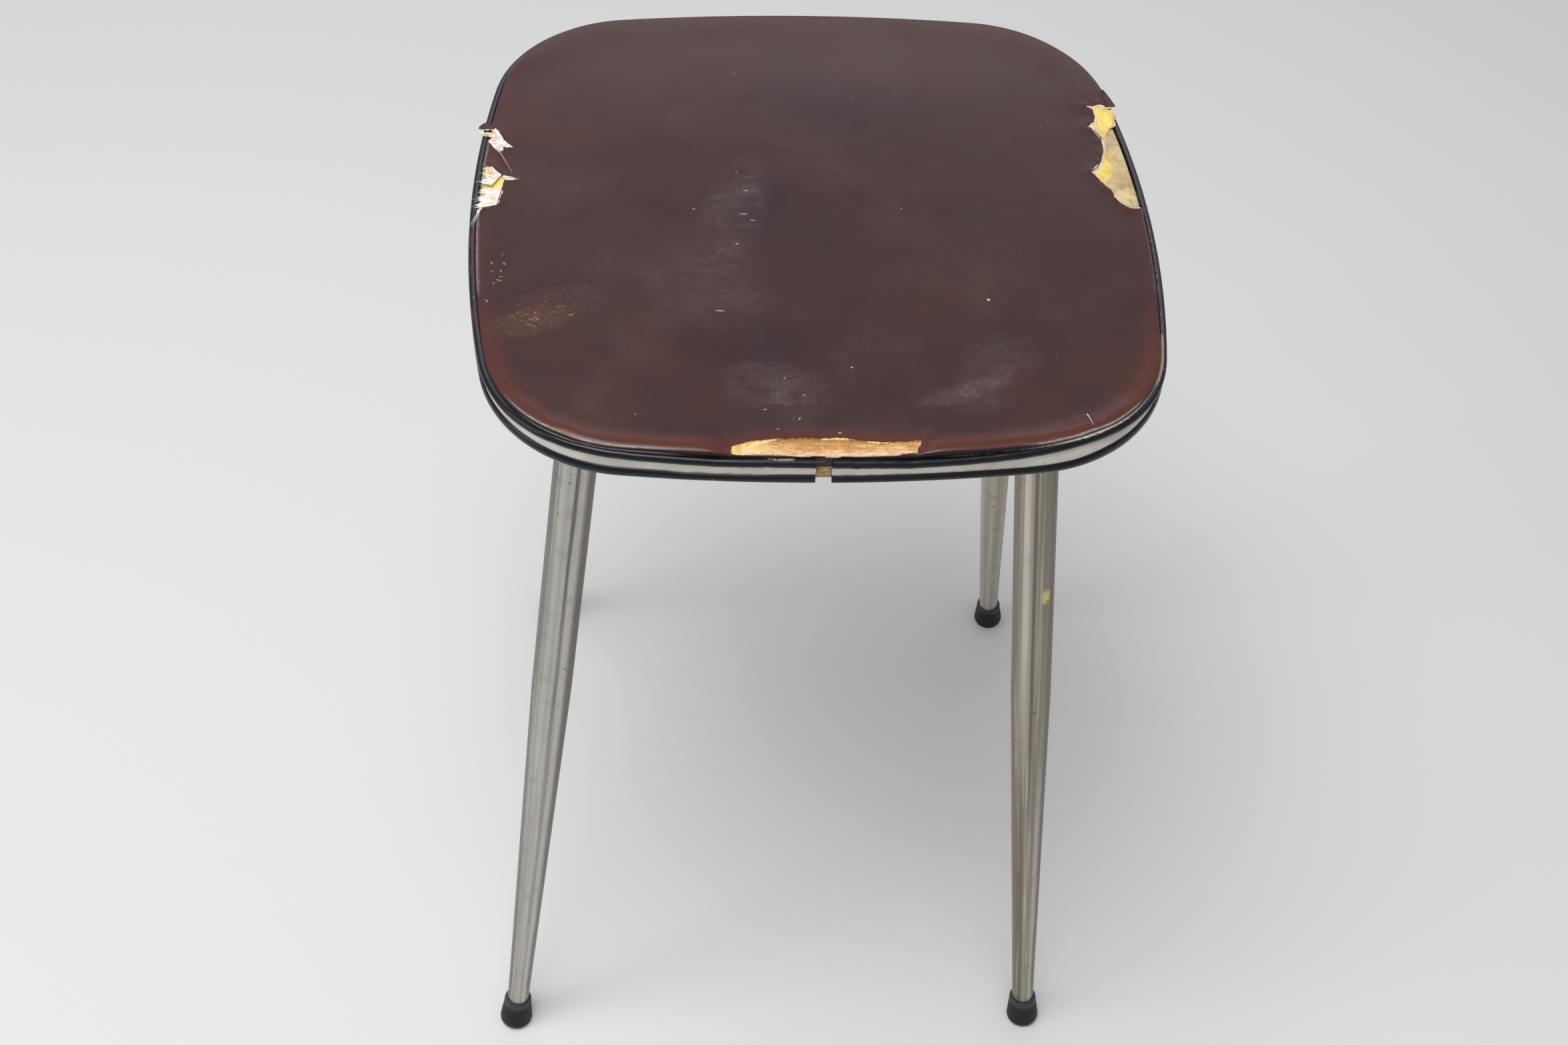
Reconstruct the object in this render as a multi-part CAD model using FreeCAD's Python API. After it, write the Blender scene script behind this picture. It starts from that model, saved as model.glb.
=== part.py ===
import FreeCAD, Part
import math
import os

# A low four-legged stool: a padded, rounded-square seat on four splayed tube legs.
# All lengths are in millimetres and all angles in degrees.
# The origin is on the floor under the middle of the seat. +Z is up and -Y is the front.

# Seat outline, measured over the trim
seat_width = 300.0
seat_depth = 293.0
corner_radius = 65.5
side_bow_radius = 520.0
front_bow_radius = 795.0

# Seat board
board_underside = 458.0
board_thickness = 12.0
board_edge_round = 1.0

# Foam pad and vinyl cover
foam_at_rim = 0.6
vinyl_thickness = 0.8
skirt_length = 4.9
shoulder_radius = 2.4
crown_height = 4.6
crown_fullness = 3.0
crown_shares = (0.94, 0.86, 0.72, 0.52, 0.3, 0.12)

# Edge trim: a black carrier with two half-round ribs and a pale strip between them
rib_radius = 1.7
trim_web = 1.0
channel_width = 5.7
strip_thickness = 0.5
strip_side_clearance = 0.1
trim_gap_width = 6.6
trim_gap_middle = -4.05

# Staples that hold the cover's skirt to the edge of the board
staple_count = 22
front_staple_middle = -8.7
staple_width = 10.0
staple_wire = 0.6
staple_leg_length = 6.0
staple_sink = 0.25
staple_below_board_top = 2.2

# Pins that hold the trim carrier, under the pale strip
pin_count = 16
pin_end_margin = 8.0
pin_radius = 0.6
pin_head_radius = 1.4
pin_head_thickness = 0.5
pin_head_sink = 0.05
pin_length = 14.0

# Leg places: how far in from the seat's sides and ends the axes are, under the board and on the floor
leg_top_side_inset = 55.0
leg_top_end_inset = 71.5
foot_side_inset = 6.0
foot_end_inset = 2.0
leg_set_turn = -2.58
front_left_foot_drift = 5.0
front_right_foot_drift = -2.0
rear_left_foot_drift = -2.0

# Leg tube
tube_radius = 9.65
tube_foot_radius = 5.6
tube_wall = 1.2
taper_length = 260.0

# Mounting plate at the top of each leg
plate_size = 58.0
plate_thickness = 1.8
plate_corner_radius = 8.0
plate_screw_spacing = 42.0
boss_drop = 8.0
boss_mouth_radius = 21.0
boss_face_radius = 14.0
bush_radius = 7.0
bush_height = 4.6
bush_neck_radius = 5.5

# Plate screws
screw_radius = 1.9
screw_length = 11.0
screw_tip_length = 3.0
screw_head_radius = 3.7
screw_head_height = 2.2
screw_head_edge = 0.7
screw_slot_length = 3.8
screw_slot_width = 0.9
screw_slot_depth = 1.2
screw_hole_clearance = 0.4

# Stud and plug in the top of each leg
stud_radius = 4.0
stud_above_board_underside = 5.0
stud_in_plug = 16.0
stud_chamfer = 0.8
stud_hole_clearance = 1.0
stud_hole_spare_depth = 2.0
plug_length = 22.0
plug_collar = 2.0
plug_side_clearance = 0.05

# Rubber foot cap with a steel washer inside
cap_height = 20.0
cap_floor = 5.0
cap_radius = 8.7
cap_widest_height = 4.0
cap_tread_radius = 5.2
cap_tread_drop = 1.5
cap_shoulder_radius = 7.4
cap_bevel_height = 3.0
cap_rim_wall = 0.7
cap_bore_clearance = 0.05
washer_thickness = 1.2
washer_hole_radius = 2.0
washer_side_clearance = 0.1

# One overrun serves all cuts
cut_overrun = 5.0

corners = {
    "front_left": (-1, -1),
    "front_right": (1, -1),
    "rear_left": (-1, 1),
    "rear_right": (1, 1),
}
foot_drifts = {
    "front_left": front_left_foot_drift,
    "front_right": front_right_foot_drift,
    "rear_left": rear_left_foot_drift,
    "rear_right": 0,
}

half_width = seat_width / 2
half_depth = seat_depth / 2
leg_top_x = half_width - leg_top_side_inset
leg_top_y = half_depth - leg_top_end_inset
foot_x = half_width - foot_side_inset
foot_y = half_depth - foot_end_inset
board_top = board_underside + board_thickness
trim_height = 4 * rib_radius + channel_width
channel_middle = board_underside + trim_height / 2
cover_inset = rib_radius + trim_web
board_inset = cover_inset + vinyl_thickness
rim_inset = cover_inset + shoulder_radius
rim_height = board_top + foam_at_rim + vinyl_thickness
shoulder_base = rim_height - shoulder_radius
tube_start = cap_floor + washer_thickness
plug_radius = tube_radius - tube_wall - plug_side_clearance


def vector(x, y, z):
    return FreeCAD.Vector(x, y, z)


def corner_centre():
    """Centre of the front right corner's arc, mirrored to +Y, from the two arcs it joins."""
    side_x = half_width - side_bow_radius
    front_y = half_depth - front_bow_radius
    from_side = side_bow_radius - corner_radius
    from_front = front_bow_radius - corner_radius
    span = math.hypot(side_x, front_y)
    along = (from_side ** 2 - from_front ** 2 + span ** 2) / (2 * span)
    across = math.sqrt(from_side ** 2 - along ** 2)
    ux = -side_x / span
    uy = front_y / span
    return side_x + along * ux - across * uy, along * uy + across * ux


def outline_arcs():
    """The seat's outline as (centre x, centre y, radius, start angle, end angle), from the front."""
    cx, cy = corner_centre()
    side_x = half_width - side_bow_radius
    front_y = half_depth - front_bow_radius
    side_turn = math.degrees(math.atan2(cy, cx - side_x))
    front_turn = math.degrees(math.atan2(cx, cy - front_y))
    return [
        (0, -front_y, front_bow_radius, 270 - front_turn, 270 + front_turn),
        (cx, -cy, corner_radius, 270 + front_turn, 360 - side_turn),
        (side_x, 0, side_bow_radius, 360 - side_turn, 360 + side_turn),
        (cx, cy, corner_radius, 360 + side_turn, 450 - front_turn),
        (0, front_y, front_bow_radius, 450 - front_turn, 450 + front_turn),
        (-cx, cy, corner_radius, 450 + front_turn, 540 - side_turn),
        (-side_x, 0, side_bow_radius, 540 - side_turn, 540 + side_turn),
        (-cx, -cy, corner_radius, 540 + side_turn, 630 - front_turn),
    ]


def front_angle(x):
    """Angle on the front arc of the outline at which it passes x."""
    return 270 + math.degrees(math.asin(x / front_bow_radius))


def trim_arcs():
    """The outline's arcs from one end of the trim round to the other, leaving the front gap."""
    arcs = outline_arcs()
    x, y, radius, start, end = arcs[0]
    right_end = front_angle(trim_gap_middle + trim_gap_width / 2)
    left_end = front_angle(trim_gap_middle - trim_gap_width / 2)
    return [(x, y, radius, right_end, end)] + arcs[1:] + [(x, y, radius, start, left_end)]


def arc_length(arc):
    return arc[2] * math.radians(arc[4] - arc[3])


def outline_length():
    return sum(arc_length(arc) for arc in outline_arcs())


def front_distance(x):
    """Distance along the outline, from its start, of the point at x on the front."""
    start = outline_arcs()[0][3]
    return front_bow_radius * math.radians(front_angle(x) - start)


def station(distance, inset, height):
    """Placement on the outline with its X axis pointing straight out of the seat."""
    left = distance % outline_length()
    for arc in outline_arcs():
        if left <= arc_length(arc):
            break
        left -= arc_length(arc)
    x, y, radius, start, end = arc
    angle = start + math.degrees(left / radius)
    turn = math.radians(angle)
    reach = radius - inset
    place = vector(x + reach * math.cos(turn), y + reach * math.sin(turn), height)
    return FreeCAD.Placement(place, FreeCAD.Rotation(vector(0, 0, 1), angle))


def outline_wire(inset, height, share=1.0):
    """The outline drawn in by an inset, then scaled by a share about the seat's middle."""
    edges = []
    for x, y, radius, start, end in outline_arcs():
        centre = vector(x * share, y * share, height)
        circle = Part.Circle(centre, vector(0, 0, 1), (radius - inset) * share)
        edges.append(Part.ArcOfCircle(circle, math.radians(start), math.radians(end)).toShape())
    return Part.Wire(Part.__sortEdges__(edges))


def outline_prism(inset, bottom, top):
    return Part.Face(outline_wire(inset, bottom)).extrude(vector(0, 0, top - bottom))


def run_round(profile, arcs):
    """Carry a profile of edges, drawn as (inset, height), round a list of the outline's arcs."""
    spans = []
    for x, y, radius, start, end in arcs:
        face = Part.Face(Part.Wire(profile(radius)))
        face.rotate(vector(0, 0, 0), vector(0, 0, 1), start)
        face.translate(vector(x, y, 0))
        spans.append(face.revolve(vector(x, y, 0), vector(0, 0, 1), end - start))
    return spans[0].multiFuse(spans[1:]).removeSplitter()


def line(start, end):
    return Part.LineSegment(start, end).toShape()


def arc_through(start, middle, end):
    return Part.Arc(start, middle, end).toShape()


def closed_lines(points):
    return [line(points[i - 1], points[i]) for i in range(len(points))]


def turned(points):
    """A solid of revolution about Z from its outline as (radius, height) points."""
    edges = closed_lines([vector(r, 0, z) for r, z in points])
    face = Part.Face(Part.Wire(edges))
    return face.revolve(vector(0, 0, 0), vector(0, 0, 1), 360)


def group(shapes):
    return Part.makeCompound(shapes)


# Seat board, with the holes of what is driven into it

def seat_board(driven_in):
    board = outline_prism(board_inset, board_underside, board_top)
    rim = [edge for edge in board.Edges if edge.BoundBox.ZMin > board_top - board_edge_round]
    board = board.makeFillet(board_edge_round, rim)
    for shape in driven_in:
        board = board.cut(shape)
    return board


# Foam pad and vinyl cover

def crown_solid(drop, base):
    """The space under the crown, lowered by a drop, down to a base height."""
    sections = [outline_wire(rim_inset, rim_height - drop)]
    for share in crown_shares:
        rise = crown_height * (1 - share ** crown_fullness)
        sections.append(outline_wire(rim_inset, rim_height - drop + rise, share))
    crown = Part.makeLoft(sections, True, False)
    return outline_prism(rim_inset, base, rim_height - drop).fuse(crown).removeSplitter()


def shoulder_point(radius, thickness, angle):
    """Point on the cover's rounded shoulder, at an angle up from level."""
    reach = (shoulder_radius - thickness) * math.cos(math.radians(angle))
    rise = (shoulder_radius - thickness) * math.sin(math.radians(angle))
    return vector(radius - rim_inset + reach, 0, shoulder_base + rise)


def skirt_profile(radius):
    """The cover's skirt and shoulder."""
    foot = board_top - skirt_length
    outer = radius - cover_inset
    inner = radius - board_inset
    outer_arc = [shoulder_point(radius, 0, angle) for angle in (0, 45, 90)]
    inner_arc = [shoulder_point(radius, vinyl_thickness, angle) for angle in (90, 45, 0)]
    return [
        line(vector(inner, 0, foot), vector(outer, 0, foot)),
        line(vector(outer, 0, foot), outer_arc[0]),
        arc_through(*outer_arc),
        line(outer_arc[2], inner_arc[0]),
        arc_through(*inner_arc),
        line(inner_arc[2], vector(inner, 0, foot)),
    ]


def foam_edge_profile(radius):
    """The foam's thin edge, under the cover's shoulder and above the board."""
    inner_radius = shoulder_radius - vinyl_thickness
    start = math.degrees(math.asin((board_top - shoulder_base) / inner_radius))
    arc = [shoulder_point(radius, vinyl_thickness, angle) for angle in (start, (start + 90) / 2, 90)]
    foot = vector(radius - rim_inset, 0, board_top)
    return [line(foot, arc[0]), arc_through(*arc), line(arc[2], foot)]


def foam_pad():
    pad = crown_solid(vinyl_thickness, board_top)
    return pad.fuse(run_round(foam_edge_profile, outline_arcs())).removeSplitter()


def vinyl_cover(staples):
    base = rim_height - vinyl_thickness
    top = crown_solid(0, base).cut(crown_solid(vinyl_thickness, base - vinyl_thickness))
    cover = top.fuse(run_round(skirt_profile, outline_arcs())).removeSplitter()
    return cover.cut(staples)


# Staples and pins

def one_staple():
    """A staple whose crown's outer face is at x = 0 and whose legs point inward."""
    half = staple_width / 2
    crown = Part.makeBox(staple_wire, staple_width, staple_wire, vector(-staple_wire, -half, 0))
    for y in (-half, half - staple_wire):
        leg = Part.makeBox(staple_leg_length, staple_wire, staple_wire, vector(-staple_leg_length, y, 0))
        crown = crown.fuse(leg)
    return crown.removeSplitter()


def cover_staples():
    pitch = outline_length() / staple_count
    start = front_distance(front_staple_middle)
    height = board_top - staple_below_board_top - staple_wire / 2
    staples = []
    for i in range(staple_count):
        staple = one_staple()
        staple.Placement = station(start + i * pitch, cover_inset + staple_sink, height)
        staples.append(staple)
    return group(staples)


def one_pin():
    """A flat-headed pin whose head's outer face is at x = 0, pointing inward along -X."""
    pin = turned([
        (0, 0),
        (pin_head_radius, 0),
        (pin_head_radius, pin_head_thickness),
        (pin_radius, pin_head_thickness),
        (pin_radius, pin_length),
        (0, pin_length),
    ])
    pin.rotate(vector(0, 0, 0), vector(0, 1, 0), -90)
    return pin


def trim_pins():
    start = front_distance(trim_gap_middle + trim_gap_width / 2) + pin_end_margin
    run = outline_length() - trim_gap_width - 2 * pin_end_margin
    inset = rib_radius + pin_head_sink
    pins = []
    for i in range(pin_count):
        pin = one_pin()
        place = station(start + run * i / (pin_count - 1), inset, channel_middle)
        pin.Placement = place.multiply(pin.Placement)
        pins.append(pin)
    return group(pins)


# Edge trim

def carrier_profile(radius):
    """The black extrusion: a flat web with a half-round rib along each edge of a channel."""
    back = radius - cover_inset
    root = radius - rib_radius
    base = board_underside
    edges = []
    for foot in (base, base + 2 * rib_radius + channel_width):
        middle = foot + rib_radius
        top = foot + 2 * rib_radius
        edges.append(arc_through(vector(root, 0, foot), vector(radius, 0, middle), vector(root, 0, top)))
    channel_foot = vector(root, 0, base + 2 * rib_radius)
    channel_top = vector(root, 0, base + 2 * rib_radius + channel_width)
    trim_top = base + trim_height
    return [
        line(vector(back, 0, base), vector(root, 0, base)),
        edges[0],
        line(channel_foot, channel_top),
        edges[1],
        line(vector(root, 0, trim_top), vector(back, 0, trim_top)),
        line(vector(back, 0, trim_top), vector(back, 0, base)),
    ]


def strip_profile(radius):
    root = radius - rib_radius
    face = root + strip_thickness
    foot = board_underside + 2 * rib_radius + strip_side_clearance
    top = foot + channel_width - 2 * strip_side_clearance
    corner_points = [(root, foot), (face, foot), (face, top), (root, top)]
    return closed_lines([vector(x, 0, z) for x, z in corner_points])


def trim_carrier(pins):
    return run_round(carrier_profile, trim_arcs()).cut(pins)


def trim_strip():
    return run_round(strip_profile, trim_arcs())


# Leg axes

def turned_place(x, y, height):
    """A place of the leg set, turned a little against the seat."""
    turn = math.radians(leg_set_turn)
    return vector(x * math.cos(turn) - y * math.sin(turn), x * math.sin(turn) + y * math.cos(turn), height)


def leg_top(corner):
    side, end = corners[corner]
    return turned_place(side * leg_top_x, end * leg_top_y, board_underside)


def leg_foot(corner):
    side, end = corners[corner]
    return turned_place(side * foot_x, end * (foot_y + foot_drifts[corner]), 0)


def leg_length(corner):
    return (leg_top(corner) - leg_foot(corner)).Length


def splay(corner):
    """Level direction in which a leg leans outward."""
    lean = leg_foot(corner) - leg_top(corner)
    return vector(lean.x, lean.y, 0).normalize()


def along_leg(corner):
    """Placement with its origin on the floor and its Z axis up the leg."""
    axis = (leg_top(corner) - leg_foot(corner)).normalize()
    rotation = FreeCAD.Rotation(splay(corner), vector(0, 0, 0), axis, "ZXY")
    return FreeCAD.Placement(leg_foot(corner), rotation)


def under_board(corner):
    """Placement with its origin where the leg's axis meets the board, and X along the splay."""
    rotation = FreeCAD.Rotation(splay(corner), vector(0, 0, 0), vector(0, 0, 1), "ZXY")
    return FreeCAD.Placement(leg_top(corner), rotation)


def tube_outer(height):
    """Radius of the tube's outside at a distance up the leg."""
    share = min((height - tube_start) / taper_length, 1)
    return tube_foot_radius + (tube_radius - tube_foot_radius) * share


def boss_height(corner):
    """Distance up the leg to the face of the plate's boss."""
    return leg_length(corner) - boss_drop


# Legs

def leg_tube(corner):
    bottom = tube_start
    bend = tube_start + taper_length
    top = boss_height(corner) - plug_collar
    tube = turned([
        (tube_outer(bottom) - tube_wall, bottom),
        (tube_outer(bottom), bottom),
        (tube_radius, bend),
        (tube_radius, top),
        (tube_radius - tube_wall, top),
        (tube_radius - tube_wall, bend),
    ])
    tube.Placement = along_leg(corner)
    return tube


def leg_plug(corner):
    top = boss_height(corner)
    collar_foot = top - plug_collar
    plug = turned([
        (0, collar_foot - plug_length),
        (plug_radius, collar_foot - plug_length),
        (plug_radius, collar_foot),
        (tube_radius, collar_foot),
        (tube_radius, top),
        (stud_radius, top),
        (stud_radius, top - stud_in_plug),
        (0, top - stud_in_plug),
    ])
    plug.Placement = along_leg(corner)
    return plug


def leg_stud(corner):
    bottom = boss_height(corner) - stud_in_plug
    top = leg_length(corner) + stud_above_board_underside
    stud = turned([
        (0, bottom),
        (stud_radius, bottom),
        (stud_radius, top - stud_chamfer),
        (stud_radius - stud_chamfer, top),
        (0, top),
    ])
    stud.Placement = along_leg(corner)
    return stud


def stud_hole(corner):
    """Blind clearance hole in the board for the end of the stud."""
    bottom = leg_length(corner) - cut_overrun
    depth = cut_overrun + stud_above_board_underside + stud_hole_spare_depth
    hole = Part.makeCylinder(stud_radius + stud_hole_clearance, depth, vector(0, 0, bottom))
    hole.Placement = along_leg(corner)
    return hole


# Mounting plates

def circle_wire(radius, x, height, placement):
    wire = Part.Wire(Part.makeCircle(radius, vector(x, 0, height)))
    wire.Placement = placement
    return wire


def boss_cone(corner, mouth_radius, mouth_height, face_radius, face_height):
    """Solid between a level mouth at the plate and a face square to the leg."""
    top = leg_top(corner)
    foot = leg_foot(corner)
    lean = math.hypot(foot.x - top.x, foot.y - top.y) / board_underside
    mouth = circle_wire(mouth_radius, -mouth_height * lean, mouth_height, under_board(corner))
    face = circle_wire(face_radius, 0, face_height, along_leg(corner))
    return Part.makeLoft([mouth, face], True, True)


def screw_places():
    half = plate_screw_spacing / 2
    return [(x, y) for x in (-half, half) for y in (-half, half)]


def plate_bush(corner):
    """Threaded bush seated in the boss, its neck through the boss's face."""
    face = boss_height(corner)
    shoulder = face + plate_thickness
    bush = turned([
        (stud_radius, face),
        (bush_neck_radius, face),
        (bush_neck_radius, shoulder),
        (bush_radius, shoulder),
        (bush_radius, shoulder + bush_height),
        (stud_radius, shoulder + bush_height),
    ])
    bush.Placement = along_leg(corner)
    return bush


def leg_plate(corner):
    half = plate_size / 2
    plate = Part.makeBox(plate_size, plate_size, plate_thickness, vector(-half, -half, -plate_thickness))
    upright = [edge for edge in plate.Edges if edge.BoundBox.ZLength > plate_thickness / 2]
    plate = plate.makeFillet(plate_corner_radius, upright)
    hole_radius = screw_radius + screw_hole_clearance
    for x, y in screw_places():
        hole = Part.makeCylinder(hole_radius, plate_thickness + 2 * cut_overrun,
                                 vector(x, y, -plate_thickness - cut_overrun))
        plate = plate.cut(hole)
    plate.Placement = under_board(corner)
    face = boss_height(corner)
    outside = boss_cone(corner, boss_mouth_radius, -plate_thickness, boss_face_radius, face)
    inside = boss_cone(corner, boss_mouth_radius - plate_thickness, 0,
                       boss_face_radius - plate_thickness, face + plate_thickness)
    neck = Part.makeCylinder(bush_neck_radius, plate_thickness + 2 * cut_overrun,
                             vector(0, 0, face - cut_overrun))
    neck.Placement = along_leg(corner)
    return plate.fuse(outside).cut(inside).cut(neck).removeSplitter()


def one_screw():
    """A cross-slotted pan-headed screw with the underside of its head at z = 0, pointing up."""
    screw = turned([
        (0, -screw_head_height),
        (screw_head_radius / 2, -screw_head_height),
        (screw_head_radius, -screw_head_edge),
        (screw_head_radius, 0),
        (screw_radius, 0),
        (screw_radius, screw_length - screw_tip_length),
        (0, screw_length),
    ])
    corner = vector(-screw_slot_length / 2, -screw_slot_width / 2, -screw_head_height - cut_overrun)
    for turn in (0, 90):
        slot = Part.makeBox(screw_slot_length, screw_slot_width, screw_slot_depth + cut_overrun, corner)
        slot.rotate(vector(0, 0, 0), vector(0, 0, 1), turn)
        screw = screw.cut(slot)
    return screw


def plate_screws():
    screws = []
    for corner in corners:
        for x, y in screw_places():
            screw = one_screw()
            place = FreeCAD.Placement(vector(x, y, -plate_thickness), FreeCAD.Rotation())
            screw.Placement = under_board(corner).multiply(place)
            screws.append(screw)
    return group(screws)


# Feet

def cap_outside():
    """Outline of the cap's outside, from its tread to its rim, as edges."""
    tread = vector(cap_tread_radius, 0, -cap_tread_drop)
    widest = vector(cap_radius, 0, cap_widest_height)
    shoulder = vector(cap_shoulder_radius, 0, cap_height - cap_bevel_height)
    rim = vector(tube_outer(cap_height) + cap_rim_wall, 0, cap_height)
    turn = math.sqrt(0.5)
    bend = vector(tread.x + (widest.x - tread.x) * turn, 0, widest.z - (widest.z - tread.z) * turn)
    bevel = vector(rim.x + (shoulder.x - rim.x) * turn, 0, rim.z - (rim.z - shoulder.z) * (1 - turn))
    return [arc_through(tread, bend, widest), line(widest, shoulder), arc_through(shoulder, bevel, rim)]


def foot_cap(corner):
    outside = cap_outside()
    rim = vector(tube_outer(cap_height) + cap_rim_wall, 0, cap_height)
    inner = [
        rim,
        vector(tube_outer(cap_height) + cap_bore_clearance, 0, cap_height),
        vector(tube_foot_radius + cap_bore_clearance, 0, tube_start),
        vector(tube_foot_radius + cap_bore_clearance, 0, cap_floor),
        vector(0, 0, cap_floor),
        vector(0, 0, -cap_tread_drop),
        vector(cap_tread_radius, 0, -cap_tread_drop),
    ]
    edges = outside + [line(inner[i], inner[i + 1]) for i in range(len(inner) - 1)]
    cap = Part.Face(Part.Wire(Part.__sortEdges__(edges))).revolve(vector(0, 0, 0), vector(0, 0, 1), 360)
    cap.Placement = along_leg(corner)
    foot = leg_foot(corner)
    reach = 2 * cap_radius
    low_corner = vector(foot.x - reach, foot.y - reach, -cut_overrun)
    below = Part.makeBox(2 * reach, 2 * reach, cut_overrun, low_corner)
    return cap.cut(below)


def foot_washer(corner):
    washer = turned([
        (washer_hole_radius, cap_floor),
        (tube_foot_radius - washer_side_clearance, cap_floor),
        (tube_foot_radius - washer_side_clearance, tube_start),
        (washer_hole_radius, tube_start),
    ])
    washer.Placement = along_leg(corner)
    return washer


def save(name, shape):
    shape.exportStep("parts/" + name + ".step")


def build():
    os.makedirs("parts", exist_ok=True)
    staples = cover_staples()
    pins = trim_pins()
    screws = plate_screws()
    holes = [stud_hole(corner) for corner in corners]
    save("seat_board", seat_board([staples, pins, screws] + holes))
    save("foam_pad", foam_pad())
    save("vinyl_cover", vinyl_cover(staples))
    save("cover_staples", staples)
    save("trim_carrier", trim_carrier(pins))
    save("trim_strip", trim_strip())
    save("trim_pins", pins)
    save("plate_screws", screws)
    for corner in corners:
        save(corner + "_plate", leg_plate(corner))
        save(corner + "_bush", plate_bush(corner))
        save(corner + "_stud", leg_stud(corner))
        save(corner + "_plug", leg_plug(corner))
        save(corner + "_leg", leg_tube(corner))
        save(corner + "_cap", foot_cap(corner))
        save(corner + "_washer", foot_washer(corner))


build()
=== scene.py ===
import math
import random

import bmesh
import bpy
from mathutils import Matrix, Vector, noise
from mathutils.bvhtree import BVHTree
from mathutils.geometry import delaunay_2d_cdt
from mathutils.kdtree import KDTree


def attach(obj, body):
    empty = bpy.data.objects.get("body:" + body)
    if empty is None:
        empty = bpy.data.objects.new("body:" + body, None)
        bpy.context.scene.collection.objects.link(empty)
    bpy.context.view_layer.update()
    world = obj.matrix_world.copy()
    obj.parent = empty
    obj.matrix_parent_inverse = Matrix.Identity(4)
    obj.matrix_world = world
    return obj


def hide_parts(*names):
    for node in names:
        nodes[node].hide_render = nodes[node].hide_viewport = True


# A worn low stool: a padded vinyl seat with torn edges on four splayed, plated tube legs.
# Shapes are worked out in millimetres and every mesh is made in metres.
# The origin is on the floor under the middle of the seat. +Z is up and -Y is the front.

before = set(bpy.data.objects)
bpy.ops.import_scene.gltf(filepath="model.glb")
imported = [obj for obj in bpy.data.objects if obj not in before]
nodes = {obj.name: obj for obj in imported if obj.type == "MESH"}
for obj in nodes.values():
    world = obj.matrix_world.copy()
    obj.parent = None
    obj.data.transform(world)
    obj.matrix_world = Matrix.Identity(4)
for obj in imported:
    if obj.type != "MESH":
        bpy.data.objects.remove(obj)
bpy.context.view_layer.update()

mm = 0.001

# The noise starts from the same place on every run
noise.seed_set(7)

# Seat outline, measured over the trim
half_width = 150.0
half_depth = 146.5
corner_radius = 65.5
side_bow_radius = 520.0
front_bow_radius = 795.0

# Board, cover and trim
board_underside = 458.0
board_top = 470.0
rim_inset = 5.1
shoulder_radius = 2.4
rim_height = 471.4
shoulder_base = 469.0
shoulder_quarter = shoulder_radius * math.pi / 2
skirt_end = 7.6
crown_height = 4.6
crown_fullness = 3.0
row_share = 0.866
vinyl_thickness = 0.5
cover_thickness = 0.8
bead_radius = 1.7
upper_bead_rise = 1.9
lower_bead_drop = 0.6
web_thickness = 1.0
channel_width = 5.7
strip_thickness = 0.5
trim_gap_middle = -4.05
trim_gap_width = 6.6
trim_top = board_underside + 4 * bead_radius + channel_width

# The staple that shows in the trim's gap
staple_left = -13.75
staple_right = -3.65
staple_top = 468.1
staple_foot = 467.5

# The backing, as far beyond the rim as it reaches, and round a tear
backing_end = 5.4
backing_reach = 4.0

# Leg axes: at the underside of the board and on the floor
leg_top_place = (95.0, 75.0)
leg_foot_place = (144.0, 144.5)
leg_set_turn = -2.58
tube_radius = 9.65
tube_foot_radius = 5.6
taper_length = 260.0
foot_drifts = {"front_left": 5.0, "front_right": -2.0, "rear_left": -2.0, "rear_right": 0.0}
corners = {"front_left": (-1, -1), "front_right": (1, -1), "rear_left": (-1, 1), "rear_right": (1, 1)}


# Shader maths

def paint(red, green, blue):
    """A linear colour from screen values between 0 and 255."""
    shares = [channel / 255 for channel in (red, green, blue)]
    linear = [s / 12.92 if s < 0.04045 else ((s + 0.055) / 1.055) ** 2.4 for s in shares]
    return (*linear, 1.0)


class Shade:
    """A shader socket that Python's operators turn into Math nodes."""

    def __init__(self, finish, socket):
        self.finish = finish
        self.socket = socket

    def maths(self, operation, *others):
        return self.finish.node("ShaderNodeMath", {"operation": operation}, dict(enumerate([self, *others])))

    def __add__(self, other):
        return self.maths("ADD", other)

    def __sub__(self, other):
        return self.maths("SUBTRACT", other)

    def __rsub__(self, other):
        return self.finish.node("ShaderNodeMath", {"operation": "SUBTRACT"}, {0: other, 1: self})

    def __mul__(self, other):
        return self.maths("MULTIPLY", other)

    def __truediv__(self, other):
        return self.maths("DIVIDE", other)

    def __pow__(self, other):
        return self.maths("POWER", other)

    __radd__ = __add__
    __rmul__ = __mul__

    def at_most(self, limit):
        return self.maths("MINIMUM", limit)

    def fade(self, start, end):
        """0 at start and 1 at end, with a soft turn at both."""
        settings = {"interpolation_type": "SMOOTHSTEP"}
        return self.finish.node("ShaderNodeMapRange", settings, {0: self, 1: start, 2: end})


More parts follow.
